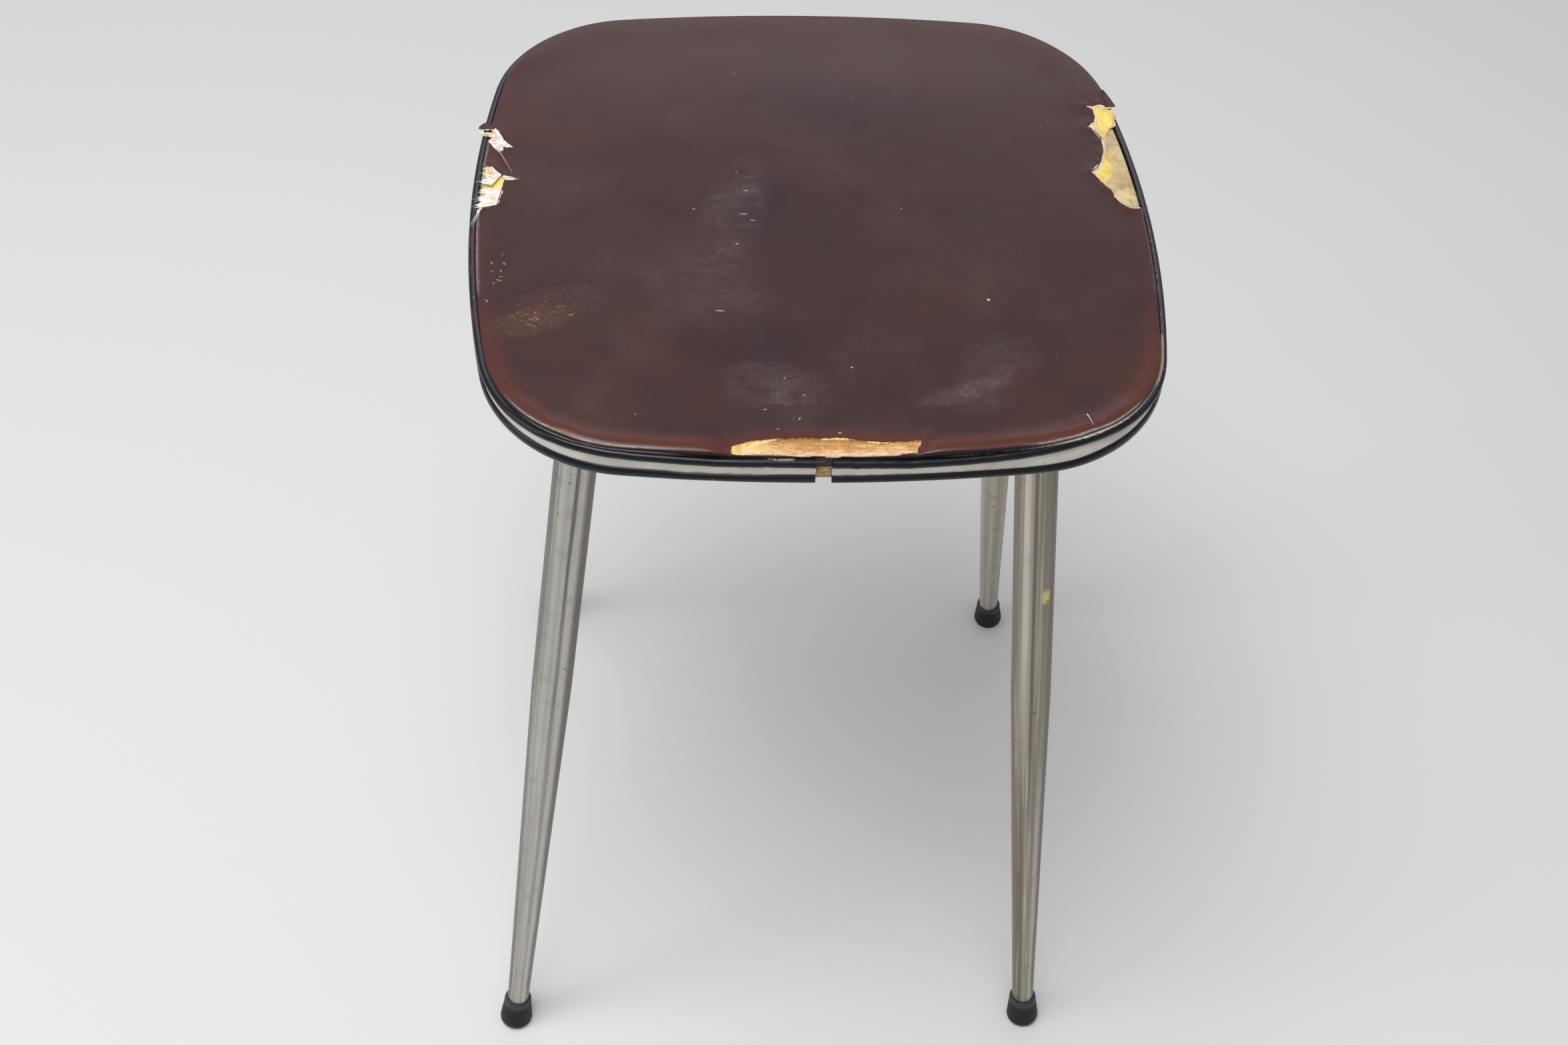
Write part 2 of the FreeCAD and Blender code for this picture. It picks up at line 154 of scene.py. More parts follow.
class Finish:
    """A material: the one place where its nodes are added and its surface is set.

    Colours are screen values between 0 and 255, or shades."""

    def __init__(self, name, **surface):
        self.material = bpy.data.materials.new(name)
        self.material.use_nodes = True
        self.tree = self.material.node_tree
        coordinates = self.node("ShaderNodeTexCoord", output="Object")
        self.place = self.vectors("MULTIPLY", coordinates, (1 / mm, 1 / mm, 1 / mm))
        self.x, self.y, self.z = [self.axis(self.place, i) for i in range(3)]
        self.set(**surface)

    def node(self, kind, settings=(), values=(), output=0):
        """Add a node, give it its settings, then give its sockets their values or links."""
        made = self.tree.nodes.new(kind)
        for name, value in dict(settings).items():
            setattr(made, name, value)
        for name, value in dict(values).items():
            self.give(made.inputs[name], value)
        return Shade(self, made.outputs[output])

    def give(self, socket, value):
        if isinstance(value, Shade):
            self.tree.links.new(value.socket, socket)
        else:
            socket.default_value = value

    def set(self, **surface):
        """Set or link sockets of the surface shader, such as roughness or base_color."""
        for name, value in surface.items():
            socket = name.replace("_", " ").title().replace("Ior", "IOR")
            self.give(self.tree.nodes["Principled BSDF"].inputs[socket], value)

    def done(self, roughness, height, depth, under=None, **surface):
        """Set colour, roughness and a relief of a depth in millimetres, and hand over the material."""
        relief = self.relief(height, depth, under)
        self.set(base_color=self.base, roughness=roughness, normal=relief, **surface)
        return self.material

    def vectors(self, operation, first, second):
        output = 1 if operation in ("DOT_PRODUCT", "DISTANCE", "LENGTH") else 0
        return self.node("ShaderNodeVectorMath", {"operation": operation}, {0: first, 1: second}, output)

    def axis(self, vector, number):
        return self.node("ShaderNodeSeparateXYZ", values={0: vector}, output=number)

    def mix(self, under, over, share):
        """One colour over another."""
        under, over = [tone if isinstance(tone, Shade) else paint(*tone) for tone in (under, over)]
        settings = {"data_type": "RGBA", "clamp_factor": True}
        return self.node("ShaderNodeMix", settings, {0: share, 6: under, 7: over}, 2)

    def coat(self, colour, share):
        """Lay a colour over the finish so far."""
        self.base = self.mix(self.base, colour, share)

    def where(self, at):
        """Where a texture is read: at the place itself, stretched along three axes, or at another vector."""
        return self.vectors("MULTIPLY", self.place, at) if isinstance(at, tuple) else at or self.place

    def cloud(self, scale, detail=3.0, roughness=0.55, at=None, twist=0.0):
        """Soft noise from 0 to 1 with a scale in turns per millimetre."""
        values = {"Vector": self.where(at), "Scale": scale, "Detail": detail, "Roughness": roughness}
        return self.node("ShaderNodeTexNoise", values={**values, "Distortion": twist})

    def cells(self, scale, at=None, output="Distance"):
        return self.node("ShaderNodeTexVoronoi", {}, {"Vector": self.where(at), "Scale": scale}, output)

    def cell_tone(self, scale, at=None, channel=0):
        """A number from 0 to 1 that is the same all over each cell."""
        colours = self.cells(scale, at, "Color")
        return self.node("ShaderNodeSeparateColor", values={0: colours}, output=channel)

    def mark(self, name):
        """A number from 0 to 1 kept on the mesh's points."""
        return self.node("ShaderNodeAttribute", {"attribute_name": name}, output="Fac")

    def patch(self, x, y, length, width, turn=0.0, strength=1.0):
        """Full in the middle of an ellipse seen from above, fading to 0 at its edge."""
        away_x, away_y = self.x - x, self.y - y
        along = away_x * math.cos(turn) + away_y * math.sin(turn)
        across = away_y * math.cos(turn) - away_x * math.sin(turn)
        return ((along / length) ** 2 + (across / width) ** 2).fade(1.0, 0.1) * strength

    def patches(self, *ellipses):
        first, *others = [self.patch(*ellipse) for ellipse in ellipses]
        return sum(others, first)

    def inset(self):
        """Distance in from the seat's outer edge, seen from above."""
        x = self.x.maths("ABSOLUTE")
        y = self.y.maths("ABSOLUTE")
        centre_x, centre_y = corner_centre()
        side_x = side_bow_radius - half_width
        front_y = front_bow_radius - half_depth
        side = side_bow_radius - ((x + side_x) ** 2 + y ** 2) ** 0.5
        front = front_bow_radius - (x ** 2 + (y + front_y) ** 2) ** 0.5
        corner = corner_radius - ((x - centre_x) ** 2 + (y - centre_y) ** 2) ** 0.5
        past_side = (y * (centre_x + side_x) - (x + side_x) * centre_y).maths("GREATER_THAN", 0.0)
        past_front = (x * (centre_y + front_y) - (y + front_y) * centre_x).maths("GREATER_THAN", 0.0)
        straight = side.at_most(front)
        return straight + (corner - straight) * past_side * past_front

    def relief(self, height, depth, under=None):
        """A bump of a depth in millimetres, over another one if there is one."""
        values = {"Height": height, "Distance": depth * mm, "Strength": 1.0}
        if under:
            values["Normal"] = under
        return self.node("ShaderNodeBump", values=values)


# Seat outline

def corner_centre():
    """Centre of the rear right corner's arc, from the two arcs that it joins."""
    side_x = half_width - side_bow_radius
    front_y = half_depth - front_bow_radius
    from_side = side_bow_radius - corner_radius
    from_front = front_bow_radius - corner_radius
    span = math.hypot(side_x, front_y)
    along = (from_side ** 2 - from_front ** 2 + span ** 2) / (2 * span)
    across = math.sqrt(from_side ** 2 - along ** 2)
    ux = -side_x / span
    uy = front_y / span
    return side_x + along * ux - across * uy, along * uy + across * ux


def outline_arcs():
    """The seat's outline as (centre x, centre y, radius, start angle, end angle), from the front."""
    cx, cy = corner_centre()
    side_x = half_width - side_bow_radius
    front_y = half_depth - front_bow_radius
    side = math.atan2(cy, cx - side_x)
    front = math.atan2(cx, cy - front_y)
    quarter = math.pi / 2
    return [
        (0, -front_y, front_bow_radius, 3 * quarter - front, 3 * quarter + front),
        (cx, -cy, corner_radius, 3 * quarter + front, 4 * quarter - side),
        (side_x, 0, side_bow_radius, 4 * quarter - side, 4 * quarter + side),
        (cx, cy, corner_radius, 4 * quarter + side, 5 * quarter - front),
        (0, front_y, front_bow_radius, 5 * quarter - front, 5 * quarter + front),
        (-cx, cy, corner_radius, 5 * quarter + front, 6 * quarter - side),
        (-side_x, 0, side_bow_radius, 6 * quarter - side, 6 * quarter + side),
        (-cx, -cy, corner_radius, 6 * quarter + side, 7 * quarter - front),
    ]


def nearest_edge(x, y):
    """Distance in from the outline, and the way out to it, for a place on the seat."""
    side_x, _, _, _, side = outline[2]
    front_y, front = outline[4][1], outline[4][4] - math.pi / 2
    across, deep = abs(x), abs(y)
    found = []
    if math.atan2(deep, across - side_x) <= side - 2 * math.pi:
        found.append((side_bow_radius, across - side_x, deep))
    if math.atan2(across, deep - front_y) <= front - 2 * math.pi:
        found.append((front_bow_radius, across, deep - front_y))
    if not found:
        found.append((corner_radius, across - outline[3][0], deep - outline[3][1]))
    radius, dx, dy = min(found, key=lambda arc: arc[0] - math.hypot(arc[1], arc[2]))
    reach = math.hypot(dx, dy)
    return radius - reach, math.copysign(dx / reach, x), math.copysign(dy / reach, y)


def stepped(arcs, spacing, ends=0):
    """Even steps along arcs as centre, radius and way out. With ends=1 the last arc's end is one too."""
    steps = []
    for k, (x, y, radius, start, end) in enumerate(arcs):
        count = max(2, round((end - start) * radius / spacing))
        for i in range(count + (ends if k == len(arcs) - 1 else 0)):
            angle = start + (end - start) * i / count
            steps.append((x, y, radius, math.cos(angle), math.sin(angle)))
    return steps


def ring(beyond_rim, spacing=2.2):
    """Points round the seat at a distance beyond the line where the cover's shoulder starts."""
    points = []
    for x, y, radius, nx, ny in stepped(outline, spacing):
        reach = radius - rim_inset + beyond_rim
        points.append((x + reach * nx, y + reach * ny))
    return points


def rim_reach(angle):
    """Distance from the middle of the seat to where the shoulder starts."""
    low, high = 50.0, 220.0
    for _ in range(24):
        middle = (low + high) / 2
        if nearest_edge(middle * math.cos(angle), middle * math.sin(angle))[0] > rim_inset:
            low = middle
        else:
            high = middle
    return low


outline = outline_arcs()
rim_table = [rim_reach(math.radians(angle) / 2) for angle in range(721)]


def rim_share(x, y):
    """0 in the middle of the seat and 1 where the shoulder starts."""
    turn = math.degrees(math.atan2(y, x)) % 360 * 2
    first = int(turn)
    reach = rim_table[first] + (rim_table[first + 1] - rim_table[first]) * (turn - first)
    return math.hypot(x, y) / reach


def plain_crown(x, y):
    """Height of the cover's face over the padding before the padding swells."""
    return rim_height + crown_height * (1 - min(max(rim_share(x, y), 0.1), 1.0) ** crown_fullness)


# Padding: a closed pad is held at its rim and blown up a little

swell_start_share = 0.7
swell_limit = 1.5
swell_steps = 20
swell_rings = 22
swell_sectors = 120
swell_settings = {
    "quality": 6, "mass": 0.3, "tension_stiffness": 20, "compression_stiffness": 20, "shear_stiffness": 10,
    "bending_stiffness": 2, "use_pressure": True, "uniform_pressure_force": 4, "vertex_group_mass": "held",
}


def pad_point(j, i):
    """Number of a point on ring j, after the middles of the lower face (0) and the upper face (1)."""
    return 2 + j * swell_sectors + i % swell_sectors


def pad_mesh():
    """Closed pad with its lower face flat on the board, in metres."""
    mesh = bpy.data.meshes.new("pad")
    rise = crown_height * swell_start_share
    points = [(0, 0, board_top), (0, 0, rim_height + rise)]
    faces = []
    for j in range(swell_rings):
        share = 1 - j / swell_rings
        for i in range(swell_sectors):
            turn = 2 * math.pi * i / swell_sectors
            reach = rim_reach(turn) * share
            height = rim_height + rise * (1 - share ** crown_fullness)
            points.append((reach * math.cos(turn), reach * math.sin(turn), height))
    last = swell_rings - 1
    for j in range(last):
        for i in range(swell_sectors):
            faces.append([pad_point(*p) for p in ((j, i), (j, i + 1), (j + 1, i + 1), (j + 1, i))])
    for i in range(swell_sectors):
        faces.append((pad_point(last, i), pad_point(last, i + 1), 1))
        faces.append((pad_point(0, i + 1), pad_point(0, i), 0))
    mesh.from_pydata([Vector(p) * mm for p in points], [], faces)
    return mesh


def swollen_pad():
    """Heights of the pad's face after its cloth has been blown up, as a search tree in metres."""
    scene = bpy.context.scene
    pad = linked("pad", pad_mesh())
    rest = [v.co.copy() for v in pad.data.vertices]
    held = pad.vertex_groups.new(name="held")
    held.add([0] + [pad_point(0, i) for i in range(swell_sectors)], 1.0, "REPLACE")
    cloth = pad.modifiers.new("swell", "CLOTH")
    for name, value in swell_settings.items():
        setattr(cloth.settings, name, value)
    cloth.settings.effector_weights.gravity = 0
    cloth.point_cache.frame_start = 1
    cloth.point_cache.frame_end = swell_steps
    for step in range(swell_steps):
        scene.frame_set(step + 1)
    swollen = pad.evaluated_get(bpy.context.evaluated_depsgraph_get())
    moved = [v.co.copy() for v in swollen.data.vertices]
    scene.frame_set(1)
    limit = swell_limit * mm
    rises = [max(end.z - start.z, 0) for start, end in zip(rest, moved)]
    heights = [start.z + limit * math.tanh(rise / limit) for start, rise in zip(rest, rises)]
    for _ in range(6):
        heights = evened(heights)
    places = [Vector((start.x, start.y, height)) for start, height in zip(rest, heights)]
    faces = [tuple(face.vertices) for face in pad.data.polygons if 0 not in face.vertices]
    bpy.data.objects.remove(pad)
    return BVHTree.FromPolygons(places, faces)


def evened(heights):
    """The pad's heights with each ring's points drawn toward their neighbours."""
    smooth = list(heights)
    for j in range(1, swell_rings):
        for i in range(swell_sectors):
            inner = pad_point(j + 1, i) if j < swell_rings - 1 else 1
            around = (pad_point(j, i - 1), pad_point(j, i + 1), inner, pad_point(j - 1, i))
            here = pad_point(j, i)
            smooth[here] = (heights[here] + sum(heights[k] for k in around)) / 5
    return smooth


def linked(name, data):
    """A new object in the scene."""
    made = bpy.data.objects.new(name, data)
    bpy.context.scene.collection.objects.link(made)
    return made


pad_tree = swollen_pad()


def crown(x, y):
    """Height of the cover's face at a place inside the shoulder."""
    if pad_tree is None or rim_share(x, y) > 0.995:
        return plain_crown(x, y)
    hit = pad_tree.ray_cast(Vector((x * mm, y * mm, 1.0)), Vector((0, 0, -1)))[0]
    return hit.z / mm if hit else plain_crown(x, y)


# Tears, as outlines on the cover laid flat: the seat's plane, with the shoulder and skirt unrolled

front_tear = [
    (-40.0, -141.8), (-40.8, -140.8), (-40.5, -137.3), (-38.2, -136.5), (-33.7, -134.9),
    (-28.6, -134.3), (-23.4, -133.7), (-18.3, -133.2), (-10.6, -133.3), (-6.8, -133.9),
    (-3.6, -133.6), (4.1, -133.2), (7.9, -134.4), (13.7, -135.1), (18.8, -135.5), (23.9, -135.7),
    (28.4, -135.6), (32.3, -135.2), (35.6, -134.4), (34.4, -137.4), (33.2, -139.7), (32.8, -141.7),
    (29.9, -141.7), (27.0, -142.0), (25.4, -143.3), (21.5, -143.5), (10.6, -143.8), (2.6, -143.5),
    (1.7, -144.7), (-3.1, -144.6), (-3.8, -143.4), (-9.2, -142.9), (-9.8, -143.7), (-13.3, -143.8),
    (-17.5, -142.9), (-23.2, -142.4), (-30.1, -142.1), (-36.8, -142.4),
]
right_tear = [
    (152.5, 78.0), (146.0, 76.2), (139.0, 75.4), (133.1, 74.6), (130.5, 73.8), (132.6, 72.8),
    (133.9, 71.2), (134.4, 68.5), (134.5, 65.7), (134.0, 64.2), (132.0, 61.9), (130.0, 59.6),
    (131.1, 58.4), (132.7, 57.2), (134.3, 54.6), (135.0, 52.0), (135.4, 50.7), (134.7, 47.2),
    (134.9, 44.5), (134.6, 41.2), (133.5, 38.4), (132.7, 35.0), (130.8, 30.8), (128.4, 28.0),
    (126.6, 26.0), (127.7, 24.7), (129.5, 22.2), (131.5, 18.6), (133.2, 15.8), (134.2, 13.7),
    (134.8, 11.8), (134.7, 9.9), (135.9, 8.1), (138.0, 5.5), (139.9, 3.5), (141.1, 3.1),
    (142.8, 3.3), (144.1, 3.0), (147.0, 3.4), (153.0, 3.0),
]
upper_left_tear = [
    (-153.0, 58.5), (-146.5, 57.8), (-142.6, 57.4), (-140.8, 55.6), (-139.6, 52.6),
    (-141.6, 50.6), (-144.4, 49.6), (-147.5, 49.8), (-153.0, 50.4),
]
lower_left_tear = [
    (-153.0, 31.6), (-147.5, 30.8), (-142.4, 30.7), (-140.3, 27.1), (-138.2, 24.2), (-136.1, 23.0),
    (-134.4, 21.3), (-130.2, 19.4), (-135.7, 20.2), (-136.5, 15.3), (-136.1, 11.7), (-137.2, 8.7),
    (-137.4, 5.2), (-138.3, 4.2), (-141.3, 2.8), (-144.6, 2.4), (-147.5, 3.2), (-153.0, 3.0),
]

# Where the foam is worn away down to the board
front_bare = [
    (-36.5, -152.0), (-36.0, -140.6), (-33.5, -138.6), (-29.0, -136.4), (-24.0, -134.0), (-17.0, -132.2),
    (-8.0, -132.0), (-5.5, -133.8), (1.0, -134.2), (5.5, -133.9), (8.0, -132.6), (12.0, -133.4),
    (14.0, -135.6), (20.5, -136.2), (23.0, -134.4), (33.0, -133.4), (39.5, -134.6), (40.0, -152.0),
]
right_bare = [
    (153.0, 60.5), (144.5, 61.5), (141.0, 60.8), (138.6, 57.0), (137.0, 49.5), (136.8, 43.0),
    (138.6, 38.0), (138.8, 32.5), (137.0, 27.5), (134.4, 24.0), (132.6, 19.5), (133.4, 15.0),
    (134.2, 10.0), (137.2, 4.4), (141.0, 1.2), (153.0, 1.0),
]
upper_left_bare = [(-153.0, 56.5), (-146.0, 55.0), (-143.0, 52.5), (-146.0, 49.0), (-153.0, 49.0)]
lower_left_bare = [
    (-153.0, 31.0), (-146.0, 29.5), (-143.5, 25.0), (-144.5, 20.0), (-146.5, 12.0),
    (-144.0, 8.0), (-145.0, 4.5), (-153.0, 4.0),
]


def ragged(points, spacing, roughness, seed):
    """The outline in short steps, each moved a little to and fro like a torn edge."""
    made = []
    for i in range(len(points)):
        start = Vector(points[i])
        end = Vector(points[(i + 1) % len(points)])
        count = max(1, round((end - start).length / spacing))
        for k in range(count):
            place = start.lerp(end, k / count)
            wander = noise.noise_vector(Vector((place.x * 0.9, place.y * 0.9, seed)))
            made.append((place.x + wander.x * roughness, place.y + wander.y * roughness))
    return made


tears = {
    "front": ragged(front_tear, 0.7, 0.35, 1.0),
    "right": ragged(right_tear, 0.8, 0.3, 2.0),
    "upper_left": ragged(upper_left_tear, 0.7, 0.5, 3.0),
    "lower_left": ragged(lower_left_tear, 0.7, 0.45, 4.0),
}
bares = {
    "front": ragged(front_bare, 0.9, 0.9, 5.0),
    "right": ragged(right_bare, 0.9, 0.9, 6.0),
    "upper_left": ragged(upper_left_bare, 0.9, 0.8, 7.0),
    "lower_left": ragged(lower_left_bare, 0.9, 0.8, 8.0),
}


def inside(x, y, loop):
    found = False
    x1, y1 = loop[-1]
    for x2, y2 in loop:
        if (y1 > y) != (y2 > y) and x < (x2 - x1) * (y - y1) / (y2 - y1) + x1:
            found = not found
        x1, y1 = x2, y2
    return found


def edge_tree(loop):
    """Search tree of close points along a closed outline."""
    points = []
    for i, end in enumerate(loop):
        start = Vector(loop[i - 1])
        run = Vector(end) - start
        count = max(1, math.ceil(run.length / 0.25))
        points += [start + run * k / count for k in range(count)]
    tree = KDTree(len(points))
    for i, point in enumerate(points):
        tree.insert((point.x, point.y, 0), i)
    tree.balance()
    return tree


def distance_to(x, y, tree):
    return tree.find((x, y, 0))[2]


tear_trees = {name: edge_tree(loop) for name, loop in tears.items()}
bare_trees = {name: edge_tree(loop) for name, loop in bares.items()}


# How the vinyl stands at each tear: (rise at the edge, reach), a fall where the foam is gone
curls = {"front": (-0.9, 6.0), "right": (1.0, 3.0), "upper_left": (0.8, 3.0), "lower_left": (0.7, 3.5)}

# Loose corners of the cover beside the side tears: place and reach along x and y
loose_corners = [(150.5, 75.5, 11.0, 36.0), (-150.5, 58.5, 8.0, 8.0)]

# Small dents and puckers: place, reach and depth
dents = [(109.0, -127.5, 5.0, -0.45), (102.0, -131.5, 3.5, 0.3), (-112.0, -124.0, 4.0, -0.35)]


def curl(x, y):
    """Rise or fall of the cover beside a tear, or in a dent."""
    rise = 0.0
    for name, (amount, reach) in curls.items():
        away = distance_to(x, y, tear_trees[name]) / reach
        if away < 2.6:
            change = 1.0 if amount < 0 else 0.65 + 0.8 * noise.noise(Vector((x / 4, y / 4, 3.0)))
            rise += amount * change * math.exp(-away * away)
    for dent_x, dent_y, reach, depth in dents:
        away = math.hypot(x - dent_x, y - dent_y) / reach
        if away < 2.5:
            rise += depth * math.exp(-away * away)
    return rise


def flap(x, y):
    """1 at a loose corner of the cover beside a tear, fading to 0 round it."""
    found = 0.0
    for corner_x, corner_y, along_x, along_y in loose_corners:
        away = math.hypot((x - corner_x) / along_x, (y - corner_y) / along_y)
        if away < 1:
            found = max(found, (1 - away * away) ** 1.2)
    return found


# Where, from the middle toward the front, the front's own wear starts and is full
front_start = -60.0
front_full = -95.0

# Along the front, at each x: how far the padding's rim stands up and how far in it is drawn
front_rim = [
    (-142, 0.8, 0.0), (-134, 1.2, 0.0), (-126, 1.9, 0.0), (-110, 2.6, 0.2), (-98, 2.2, 0.0), (-80, 1.8, 0.0),
    (-45, 1.6, 0.0), (40, 1.6, 0.0), (58, 1.7, 0.0), (82, 2.3, 0.3), (94, 3.1, 1.0), (106, 3.2, 1.2),
    (120, 2.3, 0.6), (132, 1.2, 0.2), (142, 0.5, 0.0),
]

# Along the front, at each x: how far the trim's upper bead stands above its usual place
front_bead = [
    (-141, 0.0), (-131, -0.5), (-120, 0.0), (-109, 0.65), (-98, 0.9), (-87, 0.55), (-77, -0.1), (-66, -0.3),
    (-56, -0.55), (-45, -0.9), (-35, -0.7), (-24, -0.5), (-3, -0.7), (7, -1.05), (18, -1.35), (29, -1.65),
    (39, -1.5), (50, -1.2), (61, -0.6), (72, 0.15), (83, 1.35), (88, 2.1), (94, 2.7), (99.5, 3.0),
    (105.5, 2.9), (111.5, 2.5), (118, 1.75), (124.5, 1.0), (136, 0.0),
]


# Along the front, at each x: how much taller the lower bead is than its radius
lower_bead = [
    (-142, 0.7), (-100, 0.65), (-70, 0.45), (-60, 0.1), (-34, 0.1), (-18, 0.4), (-6, 0.4), (2, 0.05),
    (75, 0.1), (95, 0.45), (112, 0.9), (135, 0.9),
]


def soft_step(start, end, value):
    share = max(0.0, min(1.0, (value - start) / (end - start)))
    return share * share * (3 - 2 * share)


def along_front(table, x, y, column=1):
    """A value from a table of places along the front, fading out along the sides."""
    if y > front_start:
        return 0.0
    strength = soft_step(front_start, front_full, y)
    if not table[0][0] < x < table[-1][0]:
        return strength * table[0 if x < 0 else -1][column]
    for before, after in zip(table, table[1:]):
        if before[0] <= x <= after[0]:
            share = soft_step(before[0], after[0], x)
            return strength * (before[column] + (after[column] - before[column]) * share)


def rim_shift(x, y):
    """How far the padding's rim stands up here, and how far in it is drawn."""
    inset, nx, ny = nearest_edge(x, y)
    into = max(inset - rim_inset, 0.0)
    edge_x = x + nx * inset
    back = soft_step(84, 112, y) if x < 0 else soft_step(66, 84, y)
    full = 1.7 * back * math.exp(-((into / 16.0) ** 2))
    torn = 1 - math.exp(-((distance_to(x, y, tear_trees["front"]) / 5.0) ** 2))
    if inside(x, y, tears["front"]):
        torn = 0.0
    full += along_front(front_rim, edge_x, y) * math.exp(-((into / 5.5) ** 2)) * torn
    drawn = along_front(front_rim, edge_x, y, 2) * math.exp(-((into / 12.0) ** 2))
    return full, drawn


def cover_place(x, y, depth):
    """Place in space of a point of the cover laid flat, a depth under its face."""
    inset, nx, ny = nearest_edge(x, y)
    beyond = rim_inset - inset
    rise = curl(x, y)
    full, drawn = rim_shift(x, y)
    loose = flap(x, y)
    if beyond <= 0:
        face = crown(x, y) + rise + full + 0.3 * loose
        height = max(face, board_top + cover_thickness + 0.1) - depth
        return Vector((x - nx * drawn, y - ny * drawn, height))
    foot_x, foot_y = x - nx * (beyond + drawn), y - ny * (beyond + drawn)
    radius = shoulder_radius - depth
    turn = min(beyond / shoulder_radius, math.pi / 2)
    crisp = 1 - 0.4 * soft_step(-70, -100, y)
    reach = radius * math.sin(turn) ** crisp + 0.3 * full * math.sin(2 * turn)
    height = shoulder_base + radius * max(math.cos(turn), 0.0) ** crisp - max(beyond - shoulder_quarter, 0.0)
    height += full * math.cos(turn / 2) ** 2 * max(0.0, 1 - beyond / skirt_end)
    flat_height = rim_height - depth + full * 0.4 + 0.3 - 0.1 * beyond
    reach += (beyond - reach) * 0.95 * loose ** 1.5
    height += (flat_height - height) * min(1.0, 1.8 * loose)
    if rise < 0:
        height += rise * max(0.0, 1 - beyond / 3.0) * 0.5
    else:
        height += rise * math.cos(turn)
        reach += rise * math.sin(turn) * 0.2
    return Vector((foot_x + nx * reach, foot_y + ny * reach, height))


def grid_points(spacing, reach):
    """Places all over the seat in staggered rows, clear of the shoulder."""
    points = []
    row_height = spacing * row_share
    rows = int(half_depth / row_height) + 1
    columns = int(half_width / spacing) + 1
    for j in range(-rows, rows + 1):
        for i in range(-columns, columns + 1):
            place = ((i + 0.5 * (j % 2)) * spacing, j * spacing * row_share)
            if nearest_edge(*place)[0] > reach:
                points.append(place)
    return points


def near_points(loops, spacing, reach):
    """Closer places round the tears."""
    points = []
    for loop in loops:
        tree = edge_tree(loop)
        xs, ys = zip(*loop)
        x = min(xs) - reach
        while x < max(xs) + reach:
            y = min(ys) - reach
            while y < max(ys) + reach:
                if nearest_edge(x, y)[0] > rim_inset - skirt_end and distance_to(x, y, tree) < reach:
                    points.append((x, y))
                y += spacing
            x += spacing
    return points


def solid_between(name, loops, points, kept, upper, lower, marks=()):
    """Closed mesh between two surfaces, over the parts of the flat seat that kept() accepts."""
    coords = []
    edges = []
    for loop in loops:
        start = len(coords)
        coords += [Vector(p) for p in loop]
        edges += [(start + i, start + (i + 1) % len(loop)) for i in range(len(loop))]
    coords += [Vector(p) for p in points]
    flat, _, triangles, _, _, _ = delaunay_2d_cdt(coords, edges, [], 0, 1e-4)
    faces = [(a, b, c) for a, b, c in triangles if kept(*((flat[a] + flat[b] + flat[c]) / 3))]
    used = sorted({i for face in faces for i in face})
    index = {old: new for new, old in enumerate(used)}
    count = len(used)
    tops = [upper(flat[i].x, flat[i].y) * mm for i in used]
    bottoms = [lower(flat[i].x, flat[i].y) * mm for i in used]
    shell = [tuple(index[i] for i in face) for face in faces]
    sides = {(face[k], face[(k + 1) % 3]): True for face in shell for k in range(3)}
    walls = [(b, a, a + count, b + count) for a, b in sides if (b, a) not in sides]
    under = [(c + count, b + count, a + count) for a, b, c in shell]
    mesh = bpy.data.meshes.new(name)
    mesh.from_pydata(tops + bottoms, [], shell + under + walls)
    for mark_name, rule in dict(marks).items():
        layer = mesh.attributes.new(mark_name, "FLOAT", "POINT")
        layer.data.foreach_set("value", [rule(flat[i].x, flat[i].y) for i in used] * 2)
    mesh.update()
    return finished(name, mesh)


def finished(name, mesh, sharp=35.0):
    """Object of a mesh, smooth but for its sharp edges."""
    for face in mesh.polygons:
        face.use_smooth = True
    mesh.set_sharp_from_angle(angle=math.radians(sharp))
    piece = linked(name, mesh)
    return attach(piece, "root")


def on_seat(x, y, beyond, holes):
    """Whether a place is at most so far beyond the rim, and in none of the holes."""
    return nearest_edge(x, y)[0] >= rim_inset - beyond and not any(inside(x, y, hole) for hole in holes)


def rim_mark(x, y):
    """1 in the stretched band inside the shoulder and beside the front tear."""
    inset = nearest_edge(x, y)[0] - rim_inset
    wave = 2.0 * noise.noise(Vector((x / 22, y / 22, 9.0)))
    band = (6.6 - inset - wave) / 3.2 if y < -80 else 1.05 - (inset - 1.0 + wave) / 4.0
    band = max(band, 1.1 - distance_to(x, y, tear_trees["front"]) / 4.5)
    strength = 0.3 + 0.7 * soft_step(-40, -110, y)
    return max(0.0, min(1.0, band)) * strength


def shaded_skirt_mark(x, y):
    """1 where the cover turns down to the trim at the front, where the vinyl is painted dark as shade."""
    beyond = rim_inset - nearest_edge(x, y)[0]
    return soft_step(1.2, 1.9, beyond) * soft_step(-75, -100, y)


def sheen_and_rubbed_edge_mark(x, y):
    """1 along the pale line on the shoulder: painted highlight and sheen, partly a rubbed line, palest at
    the front right corner.
    """
    beyond = rim_inset - nearest_edge(x, y)[0]
    # Along the sides the line is a painted sheen.
    if y > front_start:
        line = (0.5 if x < 0 else 0.34) * max(0.0, 1 - abs(beyond - 1.4) / 2.0)
        return line * soft_step(75, 40, y) * soft_step(front_start, -45, y)
    line = max(0.0, 1 - abs(beyond - 1.3) / 0.45)
    right = soft_step(66, 90, x) * soft_step(132, 120, x)
    left = soft_step(-136, -122, x) * soft_step(-44, -80, x)
    return line * max(right, 0.8 * left)


def foot_mark(x, y):
    """1 where the cover goes down behind the trim at the front."""
    inset, nx, ny = nearest_edge(x, y)
    if y > front_start or inset > rim_inset or abs(x - trim_gap_middle) < trim_gap_width / 2 + 0.6:
        return 0.0
    lift = bead_shift(x + nx * inset, y + ny * inset)[0]
    return 1 - soft_step(0.0, 0.8, cover_place(x, y, 0.0).z - trim_top - lift)


